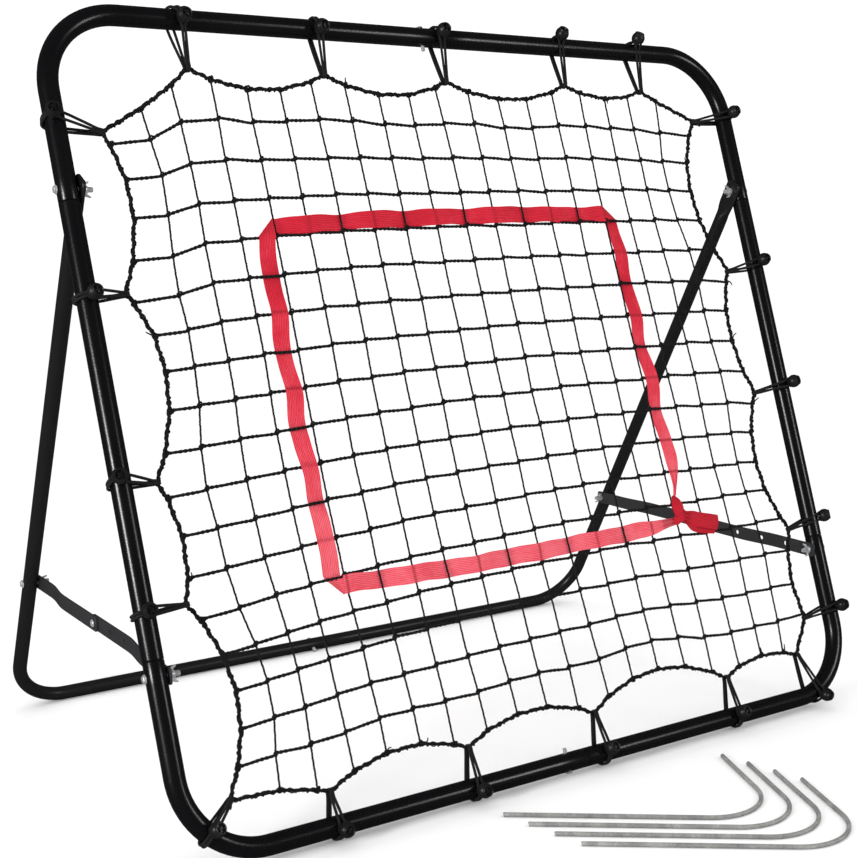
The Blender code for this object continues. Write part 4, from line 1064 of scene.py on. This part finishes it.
class Net:
    """The net's knots as a grid, pulled into balance between the bungees."""

    def __init__(self, places):
        self.columns, self.rows = NET_COLUMNS + 1, NET_ROWS + 1
        self.count = self.knots = self.columns * self.rows
        ends = {name: place[2] - (place[2] - place[0]) / np.linalg.norm(place[2] - place[0]) * EDGE_INSET
                for name, place in places.items()}
        corners = {(0, 0): "left_1", (NET_COLUMNS, 0): "right_1", (0, NET_ROWS): "corner_left",
                   (NET_COLUMNS, NET_ROWS): "corner_right"}
        self.fixed = {self.index(i, j): ends[name] for (i, j), name in corners.items()}
        self.links, self.edge = [], {}
        for j in range(self.rows):
            for i in range(self.columns):
                if i < NET_COLUMNS and 0 < j < NET_ROWS:
                    self.links.append((self.index(i, j), self.index(i + 1, j), 1.0))
                if j < NET_ROWS and 0 < i < NET_COLUMNS:
                    self.links.append((self.index(i, j), self.index(i, j + 1), 1.0))
        across, down = range(self.columns), range(self.rows)
        for name, knots, held, first in (("top", [(i, 0) for i in across], TOP_HELD, 1),
                                         ("bottom", [(i, NET_ROWS) for i in across], BOTTOM_HELD, 1),
                                         ("left", [(0, j) for j in down], LEFT_HELD, 2),
                                         ("right", [(NET_COLUMNS, j) for j in down], RIGHT_HELD, 2)):
            self.lay_edge(name, knots, held, [ends[f"{name}_{first + k}"] for k in range(len(held))])
        self.solve()
        for j in range(1, NET_ROWS):
            for i in range(1, NET_COLUMNS):
                drag = np.einsum("a,b,abc->c", drag_weights(i / NET_COLUMNS), drag_weights(j / NET_ROWS),
                                 np.array(DRAG) * 0.001)
                if i == 1:
                    drag = drag + np.array(SAG) * smooth_step((SAG_END - j) / 3)
                k = self.index(i, j)
                self.fixed[k] = self.points[k] + flat(*(drag + RANDOM.uniform(-SLIP, SLIP, 2)))
        self.links = [(a, b, pull * (1.0 if pull == 1.0 else BORDER_TENSION)) for a, b, pull in self.links]
        self.solve()
        self.slide()
        self.points[:self.knots, 2] += RANDOM.uniform(-0.0004, 0.0004, self.knots)

    def index(self, i, j):
        return j * self.columns + i

    def lay_edge(self, name, knots, held_after, points):
        """Join an edge's knots, with a held point between the two knots it lies between."""
        route = []
        for k, (i, j) in enumerate(knots):
            route.append(self.index(i, j))
            if k in held_after:
                self.fixed[self.count] = points[held_after.index(k)]
                route.append(self.count)
                self.count += 1
        for a, b in zip(route, route[1:]):
            part_mesh = a in self.fixed or b in self.fixed
            self.links.append((a, b, EDGE_TENSION * (HELD_TENSION if part_mesh else 1.0)))
        self.edge[name] = route

    def solve(self):
        """Every free knot rests where its cords' pulls cancel."""
        matrix = np.zeros((self.count, self.count))
        for a, b, pull in self.links:
            matrix[a, a] += pull
            matrix[b, b] += pull
            matrix[a, b] -= pull
            matrix[b, a] -= pull
        fixed = sorted(self.fixed)
        free = [k for k in range(self.count) if k not in self.fixed]
        known = np.array([self.fixed[k] for k in fixed])
        self.points = np.zeros((self.count, 3))
        self.points[fixed] = known
        self.points[free] = np.linalg.solve(matrix[np.ix_(free, free)], -matrix[np.ix_(free, fixed)] @ known)

    def slide(self):
        """Each border knot moves along the edge cord towards its own twine's straight line."""
        for name, route in self.edge.items():
            line = self.points[route]
            lengths = distances(line)
            k = 1 if name in ("left", "right") else 0
            moved = {}
            for place, knot in enumerate(route):
                if knot in self.fixed:
                    continue
                j, i = divmod(knot, self.columns)
                inner = {"top": [(i, 1), (i, 2), (i, 3)], "left": [(1, j), (2, j), (3, j)],
                         "bottom": [(i, NET_ROWS - step) for step in (1, 2, 3)],
                         "right": [(NET_COLUMNS - step, j) for step in (1, 2, 3)]}[name]
                a, b, c = (self.points[self.index(*knot_in)] for knot_in in inner)
                aim = a + (b - c) * (line[place] - a)[1 - k] / (b - c)[1 - k]
                target = lengths[place] + SLIDE * (aim - line[place])[k] * np.sign((line[-1] - line[0])[k])
                moved[knot] = [np.interp(target, lengths, line[:, c]) for c in range(3)]
            for knot, point in moved.items():
                self.points[knot] = point

    def column(self, i):
        return self.points[[self.index(i, j) for j in range(self.rows)]]

    def row(self, j):
        return self.points[[self.index(i, j) for i in range(self.columns)]]


def twine_section(path, radius, lay, lobes, depth, sides):
    """A ring at each point of a path, with lobes that spiral round the cord."""
    lengths = distances(path)
    k = np.arange(sides)
    ridge = 1 + depth * np.cos(2 * pi * k * lobes / sides)
    a = 2 * pi * k[None] / sides + (2 * pi * lengths / lay)[:, None]
    r = radius * ridge[None]
    return np.stack([r * np.cos(a), r * np.sin(a)], axis=2)


def add_twine(shell, points, radius, lay, lobes=3, depth=0.20, wobble=0.00025):
    path = resample(points, TWINE_STEP)
    lengths = np.arange(len(path)) * TWINE_STEP
    for axis in (0, 1):
        phase = RANDOM.uniform(0, 6, 3)
        wave = (np.sin(lengths * 190 + phase[0]) + np.sin(lengths * 83 + phase[1])
                + np.sin(lengths * 41 + phase[2])) / 3
        path[1:-1, axis] += wobble * wave[1:-1]
    shell.sweep(path, twine_section(path, radius, lay, lobes, depth, 6), OUT)


def add_ring(shell, centre, turn, long, short, radius, steps):
    """One turn of twine, wavy in and out of the net."""
    t = 2 * pi * np.arange(steps) / steps
    x, y, z = long * np.cos(t), short * np.sin(t), 0.0012 * np.sin(2 * t + 0.5)
    path = np.stack([x * cos(turn) - y * sin(turn), x * sin(turn) + y * cos(turn), z], axis=1) + centre
    shell.sweep(path, circle(radius, 5), (0.02, 0.01, 1.0), closed=True)


def add_knot(shell, centre, size):
    """A hitch round a crossing: an open eye to the upper right and a tight lump below it."""
    turn = radians(52) + RANDOM.uniform(-0.35, 0.35)
    eye = centre + flat(0.0007, 0.0009) * size
    add_ring(shell, eye, turn, 0.0026 * size, 0.0018 * size, 0.00100 * size, 12)
    add_ring(shell, centre - flat(0.0008, 0.0007) * size, turn + pi / 2, 0.0019 * size, 0.0008 * size,
             0.00105 * size, 8)


def net_meshes(net):
    uprights, rungs, knots = Shell(FRONT), Shell(FRONT), Shell(FRONT)
    for i in range(1, NET_COLUMNS):
        add_twine(uprights, net.column(i), UPRIGHT_R, UPRIGHT_LAY)
    step_off = flat(KNOT_HALF, RUNG_SLIP)
    for j in range(1, NET_ROWS):
        row = net.row(j)
        points = [row[0]]
        for a, b in zip(row, row[1:]):
            points += [a + step_off, b - step_off]
        points += [row[-1]]
        add_twine(rungs, np.array(points), RUNG_R, RUNG_LAY, lobes=2, depth=0.24)
        for i in range(1, NET_COLUMNS):
            add_knot(knots, net.points[net.index(i, j)], RANDOM.uniform(0.92, 1.15))
    for shell, name in ((uprights, "uprights"), (rungs, "rungs"), (knots, "knots")):
        shell.object(f"net_{name}", [TWINE], "front_frame", ["net"], "black_net_twine", sharp=85)


def add_lashing(shell, path, lay, offset):
    """Twine wound openly round the edge cord."""
    lengths = distances(path)
    at = np.arange(0, lengths[-1], LASHING_STEP)
    core = points_at(at, lengths, path)
    side = np.cross(OUT, unit_rows(np.gradient(core, axis=0)))
    a = 2 * pi * at / lay + offset + 0.8 * np.sin(at * 31 + offset) + 0.5 * np.sin(at * 77)
    reach = EDGE_R + LASHING_R * 0.55
    spiral = core + side * (reach * np.cos(a))[:, None]
    spiral[:, 2] += reach * np.sin(a)
    shell.sweep(spiral, circle(LASHING_R, 5), (0.013, 0.017, 1.0))


def net_edge(net):
    """The edge cord, as one closed line through the border's knots and the held points."""
    top, right = net.edge["top"], net.edge["right"]
    bottom, left = net.edge["bottom"][::-1], net.edge["left"][::-1]
    route = top[:-1] + right[:-1] + bottom[:-1] + left[:-1]
    path = resample(net.points[route + route[:1]], TWINE_STEP)[:-1]
    shell = Shell(FRONT)
    shell.sweep(path, twine_section(path, EDGE_R, EDGE_LAY, 3, 0.14, 9), OUT, closed=True)
    whole = np.vstack([path, path[:1]])
    for lay, offset in LASHINGS:
        add_lashing(shell, whole, lay, offset)
    for k in route:
        if k >= net.knots:
            continue
        centre = net.points[k]
        for part in range(2):
            size = RANDOM.uniform(0.95, 1.25)
            add_ring(shell, centre + flat(0.0012, 0.0008) * part, RANDOM.uniform(0, pi), 0.0027 * size,
                     0.0018 * size, 0.00100 * size, 12)
        if RANDOM.uniform() < FRAYED:
            add_fray(shell, centre)
    shell.object("net_edge_cord", [TWINE], "front_frame", ["net"], "black_net_twine", sharp=85)


def add_fray(shell, centre):
    """A cut twine end that curls away from a knot."""
    a = RANDOM.uniform(0, 2 * pi)
    length = RANDOM.uniform(0.006, 0.012)
    t = np.linspace(0, 1, 7)
    heading = a + RANDOM.uniform(-2.2, 2.2) * t
    step = length / 6
    x = np.concatenate([[0], np.cumsum(np.cos(heading[1:]) * step)])
    y = np.concatenate([[0], np.cumsum(np.sin(heading[1:]) * step)])
    path = centre + np.stack([x, y, 0.0015 + 0.003 * t], axis=1)
    taper = (UPRIGHT_R * (1 - 0.45 * t))[:, None, None] * circle(1.0, 5)[None]
    shell.sweep(path, taper, OUT)


# ---------------- target ribbon
class Ribbon:
    """Rows of points across the ribbon, gathered along it and then given thickness."""

    def __init__(self):
        self.share = np.linspace(-0.5, 0.5, 2 * RIBS + 1)
        self.t = self.share * RIBBON_WIDTH
        self.rows, self.lengths, self.shade = [], [], []

    def row(self, centre, way, z, width=1.0, tilt=0.0, crown=0.0, pleat=0.0, shade=0.0):
        """way lies across the ribbon in the net's plane, as long as the row is stretched."""
        t = self.t * width
        points = np.zeros((len(t), 3))
        points[:, :2] = np.asarray(centre)[:2] + np.asarray(way, float)[:2] * t[:, None]
        points[:, 2] = (z + t * sin(tilt) + crown * (1 - 4 * self.share**2)
                        + pleat * np.cos(2 * pi * PLEATS * self.share + 1.2))
        along = 0.0
        if self.rows:
            along = self.lengths[-1] + np.linalg.norm(points[RIBS] - self.rows[-1][RIBS])
        self.rows.append(points)
        self.lengths.append(along)
        self.shade.append(shade)

    def object(self, name, material):
        rows = np.array(self.rows)
        normal = np.cross(np.gradient(rows, axis=0), np.gradient(rows, axis=1))
        normal /= np.maximum(np.linalg.norm(normal, axis=2), 1e-12)[..., None]
        ribs = np.cos(2 * pi * RIBS * (self.share + 0.5))
        half = (RIBBON_HALF + RIB_HEIGHT * ribs)[None, :, None]
        rings = np.concatenate([rows + normal * half, (rows - normal * half)[:, ::-1]], axis=1)
        shell = Shell(FRONT)
        count, k = rings.shape[:2]
        u = np.concatenate([self.t, self.t[::-1]]) + RIBBON_WIDTH / 2
        faces, uvs = [], []
        for i in range(count - 1):
            v0, v1 = self.lengths[i], self.lengths[i + 1]
            for j in range(k):
                n = (j + 1) % k
                faces.append((i * k + j, i * k + n, (i + 1) * k + n, (i + 1) * k + j))
                uvs += [(u[j], v0), (u[n], v0), (u[n], v1), (u[j], v1)]
        for i in (0, count - 1):
            for j in range(k // 2 - 1):
                quad = [i * k + j, i * k + j + 1, i * k + k - 2 - j, i * k + k - 1 - j]
                faces.append(quad[::-1] if i == 0 else quad)
                uvs += [(u[j], self.lengths[i])] * 4
        shell.add(rings.reshape(-1, 3), faces, uvs)
        made = shell.object(name, [material], "front_frame", ["target_ribbon"], "red_webbing", sharp=60)
        shade = made.data.attributes.new("shade", "FLOAT", "POINT")
        shade.data.foreach_set("value", np.repeat(self.shade, k).astype(np.float32))
        return made


def weave(crossings, fronts, at):
    """Its height by turns in front of and behind the strands crossed, and the painted shade where a strand
    lies close behind it.

    fronts is 1 where the ribbon passes in front of a strand and -1 where it passes behind.
    """
    order = np.argsort(crossings)
    places, signs = np.asarray(crossings)[order], np.asarray(fronts)[order]
    height, through = [], []
    for s in at:
        k = int(np.clip(np.searchsorted(places, s) - 1, 0, len(places) - 2))
        share = smooth_step((s - places[k]) / (places[k + 1] - places[k]))
        height.append(RIBBON_WEAVE * (signs[k] + (signs[k + 1] - signs[k]) * share))
        gaps = np.abs(places - s)[signs > 0]
        through.append(exp(-(gaps.min() / STRAND_SHADOW) ** 2) if len(gaps) else 0.0)
    return height, through


def run(ribbon, marks, way, crossings, fronts, start_gap, end_gap, narrow=None, doubled=0.0):
    """One straight-ish stretch through marks, woven over and under the strands it crosses.

    Its last part gets painted shade where a second layer lies behind it, for the doubled length.
    """
    line = eased(np.array([flat(*mark) for mark in marks]), 0.0030)
    axis = 1 if way[0] else 0
    lengths = distances(line)
    height, through = weave(crossings, fronts, line[:, axis])
    phase = RANDOM.uniform(0, 6, 4)
    for place, z, shade, s in zip(line, height, through, lengths):
        if s < start_gap or s > lengths[-1] - end_gap:
            continue
        ripple = 0.0004 * (sin(s * 60 + phase[0]) + sin(s * 137 + phase[1]))
        width = 1 + 0.020 * (sin(s * 90 + phase[2]) + sin(s * 41 + phase[3]))
        pleat = 0.0
        if narrow:
            share = narrow(s, lengths[-1])
            width *= share
            pleat, z = 0.0022 * (1 - share), z * share + KNOT_Z * (1 - share)
        shade = max(shade, LAYER_SHADE * (s > lengths[-1] - doubled))
        ribbon.row(place[:2] + np.array(way) * ripple, way, z, width, 0.05 * sin(s * 48 + phase[0]), 0.0,
                   pleat, shade)


def fold(ribbon, corner, come, go, z_in, z_out):
    """The ribbon turns a corner by folding over a diagonal.

    come and go are its headings before and after.  Rows shear on to the diagonal, roll over
    it to the front and shear back.
    """
    come, go, corner = np.array(come, float), np.array(go, float), np.array(corner, float)
    over = (ribbon.rows[-1][-1] - ribbon.rows[-1][0])[:2]
    way = np.round(over / np.linalg.norm(over))
    sigma = 1.0 if way @ go > 0 else -1.0
    outside = (come - go) / np.sqrt(2)
    roll = RIBBON_HALF + FOLD_GAP
    start_z = ribbon.rows[-1][RIBS, 2]
    # the rows over the fold get painted shade
    for k in np.linspace(0, 1, 7):
        z = start_z + (z_in - start_z) * smooth_step(k * 1.3)
        ribbon.row(corner - come * FOLD_REACH * (1 - k), way + come * (k * sigma), z,
                   shade=FOLD_SHADE * smooth_step(k))
    for a in np.linspace(0, pi, 7)[1:-1]:
        z = z_in + roll * (1 - cos(a))
        ribbon.row(corner + outside * roll * sin(a), way + come * sigma, z, shade=ROLL_SHADE)
    way = come * sigma
    for k in np.linspace(1, 0, 7):
        z = z_in + 2 * roll + (z_out - z_in - 2 * roll) * smooth_step(1 - k)
        ribbon.row(corner + go * FOLD_REACH * (1 - k), way + go * (k * sigma), z,
                   shade=FOLD_SHADE * smooth_step(k))


def target_ribbon(net):
    """The woven run from the knot and round to it again, its two tail ends and the knot."""
    def alternate(numbers, sign):
        return [sign * (-1) ** k for k in numbers]

    rows, columns = RIBBON_ROWS, RIBBON_COLUMNS
    right_rows = [net.row(j)[columns[-1], 1] for j in rows]
    left_rows = [net.row(j)[columns[0], 1] for j in rows]
    top_columns = [net.column(i)[rows[0], 0] for i in columns]
    # the bottom run lies a fifth of the way from its upper row to the next one down
    low_columns = [net.column(i)[rows[-1] + 1, 0] * 0.2 + net.column(i)[rows[-1], 0] * 0.8 for i in columns]
    top_right, top_left, low_left = RIGHT_RUN[-1], TOP_RUN[-1], LEFT_RUN[-1]
    ribbon = Ribbon()
    right_fronts = alternate(rows, -1)
    right_fronts[-2:] = [1, 1]  # it comes out of the knot in front of the lowest two rungs
    run(ribbon, RIGHT_RUN, (-1, 0), right_rows, right_fronts, 0.0, FOLD_REACH,
        lambda s, whole: 0.10 + 0.90 * smooth_step(s / 0.058) ** 0.75)
    fold(ribbon, top_right, (0, 1), (-1, 0), -0.0012, 0.0010)
    run(ribbon, TOP_RUN, (0, 1), top_columns, alternate(columns, -1), FOLD_REACH, FOLD_REACH)
    fold(ribbon, top_left, (-1, 0), (0, -1), 0.0012, 0.0028)
    run(ribbon, LEFT_RUN, (1, 0), left_rows, alternate(rows, 1), FOLD_REACH, FOLD_REACH)
    fold(ribbon, low_left, (0, -1), (1, 0), -0.0012, 0.0006)
    run(ribbon, BOTTOM_RUN, (0, -1), low_columns, alternate(columns, 1), FOLD_REACH, 0.0,
        lambda s, whole: 0.42 + 0.58 * smooth_step((whole - s) / 0.062), DOUBLED)
    strip = ribbon.object("target_ribbon_strip", WEBBING)

    for name, marks, lift, bend, gathered in (("under", UNDER_TAIL, 0.0, 0.5, 0.42),
                                              ("tail", FRONT_TAIL, 0.0030, 2.2, 0.50)):
        tail = Ribbon()
        line = eased(np.array([flat(*mark) for mark in marks]), 0.0022)
        heading = (line[-1] - line[0]) / np.linalg.norm(line[-1] - line[0])
        for place, share in zip(line, np.linspace(0, 1, len(line))):
            opened = smooth_step(share / 0.38)
            width = gathered + (1.0 - gathered) * opened
            z = KNOT_Z + lift * (0.4 + 0.6 * share) + 0.0012 * sin(7 * share + bend)
            # the last argument is painted shade: some all along the tail, most a little way out from the knot
            tail.row(place, (-heading[1], heading[0]), z, width, 0.16 * sin(4.2 * share + bend),
                     0.0022 * opened, 0.0016 * (1 - opened),
                     0.15 + 0.35 * exp(-((share - 0.16) / 0.07) ** 2))
        tail.object(f"target_ribbon_{name}", SHADED_WEBBING)
    tied = ribbon_knot()


def ribbon_knot():
    """The overhand knot: a gathered band over the front, crossed by a lower one."""
    shell = Shell(FRONT)
    bands = (
        # places down the band, with its half width and its height off the net
        ((0.2436, 0.2915, 0.0016, 0.0052), (0.2440, 0.2860, 0.0062, 0.0078), (0.2438, 0.2800, 0.0086, 0.0100),
         (0.2436, 0.2735, 0.0090, 0.0108), (0.2440, 0.2670, 0.0074, 0.0096), (0.2448, 0.2610, 0.0046, 0.0070),
         (0.2452, 0.2575, 0.0022, 0.0050)),
        ((0.2385, 0.2560, 0.0040, 0.0046), (0.2420, 0.2600, 0.0060, 0.0066), (0.2470, 0.2640, 0.0072, 0.0080),
         (0.2520, 0.2662, 0.0078, 0.0074), (0.2560, 0.2655, 0.0070, 0.0058)),
    )
    for number, marks in enumerate(bands):
        line = eased(np.array([flat(x, y) for x, y, _, _ in marks]), 0.0012)
        share = np.linspace(0, 1, len(line))
        places = np.linspace(0, 1, len(marks))
        wide = eased(np.stack([places, [m[2] for m in marks], [m[3] for m in marks]], axis=1), 0.02)
        half = np.interp(share, wide[:, 0], wide[:, 1])
        lift = np.interp(share, wide[:, 0], wide[:, 2])
        a = 2 * pi * np.arange(36) / 36
        sections = []
        for k, s in enumerate(share):
            crease = 1 + 0.13 * np.sin(7 * a + 2.4 * s + number) * (np.sin(a) > -0.2) * sin(pi * s) ** 0.3
            sections.append(np.stack([half[k] * np.cos(a) * (1 + 0.05 * np.sin(9 * s + 3 * a)),
                                      (0.0022 + 0.18 * half[k]) * np.sin(a) * crease], axis=1))
        path = line.copy()
        path[:, 2] = lift - 0.0022
        shell.sweep(path, np.array(sections), OUT)
    return shell.object("target_ribbon_knot", [SHADED_WEBBING], "front_frame", ["target_ribbon"], "red_webbing",
                        sharp=70)


# ---------------- ground pegs
def ground_pegs():
    forward = np.array([cos(PEG_HEADING), sin(PEG_HEADING), 0])
    left = np.array([-forward[1], forward[0], 0])
    centre = forward * PEG_SHAFT + left * PEG_BEND_R
    route = [forward * s for s in np.linspace(0, PEG_SHAFT, 24)[:-1]]
    route += [centre + (forward * sin(a) - left * cos(a)) * PEG_BEND_R for a in np.linspace(0, PEG_TURN, 40)]
    along = forward * cos(PEG_TURN) + left * sin(PEG_TURN)
    route += [route[-1] + along * s for s in np.linspace(0, PEG_HOOK, 12)[1:]]
    base = np.array(route)
    for number in range(1, PEG_COUNT + 1):
        node = f"ground_peg_{number}"
        low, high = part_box(node)
        offset = np.array([low.x, 0, 0]) - np.array([base[:, 0].min() - PEG_R * abs(forward[1]), 0, 0])
        offset[1] = low.y - (base[:, 1].min() - PEG_R)
        offset[2] = (low.z + high.z) / 2
        path = base + offset
        path = np.vstack([path[:1], path[:1] + forward * PEG_CHAMFER, path[1:-1],
                          path[-1:] - along * PEG_CHAMFER, path[-1:]])
        radius = np.full(len(path), PEG_R)
        radius[[0, -1]] *= PEG_TIP
        waver = RANDOM.uniform(-PEG_WAVER, PEG_WAVER, 3)
        path[:, 2] += waver[0] * np.sin(np.linspace(0, 2 * pi, len(path)))
        path[:, 2] = np.maximum(path[:, 2], radius)
        shell = Shell(CAD_PLACE)
        shell.sweep(path, circle(1.0, 16)[None] * radius[:, None, None], (0, 0, 1))
        shell.node(node, [WIRE], node, "galvanised_steel")


# ---------------- stage
def lit_by_sight(tree, seen):
    """A grey that glossy surfaces reflect as nearly black, so that black paint stays black."""
    sight = tree.nodes.new("ShaderNodeLightPath")
    blend = tree.nodes.new("ShaderNodeMix")
    blend.data_type = "RGBA"
    for socket, grey in ((6, seen), (7, MIRRORED)):
        blend.inputs[socket].default_value = (grey, grey, grey, 1)
    tree.links.new(sight.outputs["Is Glossy Ray"], blend.inputs["Factor"])
    return blend.outputs[2]


def stage():
    mesh = bpy.data.meshes.new("studio_floor")
    corners = [(x * FLOOR_HALF, y * FLOOR_HALF, -0.0001) for x, y in ((-1, -1), (1, -1), (1, 1), (-1, 1))]
    mesh.from_pydata(corners, [], [(0, 1, 2, 3)])
    material = bpy.data.materials.new("Studio floor")
    material.use_nodes = True
    shader = material.node_tree.nodes["Principled BSDF"]
    material.node_tree.links.new(lit_by_sight(material.node_tree, FLOOR_SEEN), shader.inputs["Base Color"])
    shader.inputs["Roughness"].default_value = 1.0
    shader.inputs["Specular IOR Level"].default_value = 0.0
    mesh.materials.append(material)
    floor = new_object("studio_floor", mesh)

    world = bpy.data.worlds.new("Studio")
    bpy.context.scene.world = world
    world.use_nodes = True
    background = world.node_tree.nodes["Background"]
    world.node_tree.links.new(lit_by_sight(world.node_tree, WORLD_SEEN), background.inputs["Color"])
    background.inputs["Strength"].default_value = 1.0
    for name, place, size, power in LAMPS:
        light = bpy.data.lights.new(name, "AREA")
        light.shape = "RECTANGLE"
        light.size, light.size_y = size
        light.energy = power
        lamp = new_object(name, light)
        lamp.location = place
        lamp.rotation_euler = (LAMP_AIM - Vector(place)).to_track_quat("-Z", "Y").to_euler()
    bpy.context.scene.view_settings.view_transform = "Standard"


def camera():
    data = bpy.data.cameras.new("camera")
    data.lens = CAMERA_LENS
    data.shift_y = CAMERA_SHIFT
    data.clip_start = 0.01
    obj = new_object("camera", data)
    obj.location = CAMERA_PLACE
    obj.rotation_euler = (pi / 2 - CAMERA_PITCH, 0, -CAMERA_YAW)
    bpy.context.scene.camera = obj


# ---------------- whole object
stage()
camera()
front_tubes()
rear_legs()
rear_corners()
struts()
fasteners()
joint_screws()
PLACES = bungee_places()
for label, spot in PLACES.items():
    bungee(label, spot)
NET = Net(PLACES)
net_meshes(NET)
net_edge(NET)
target_ribbon(NET)
ground_pegs()
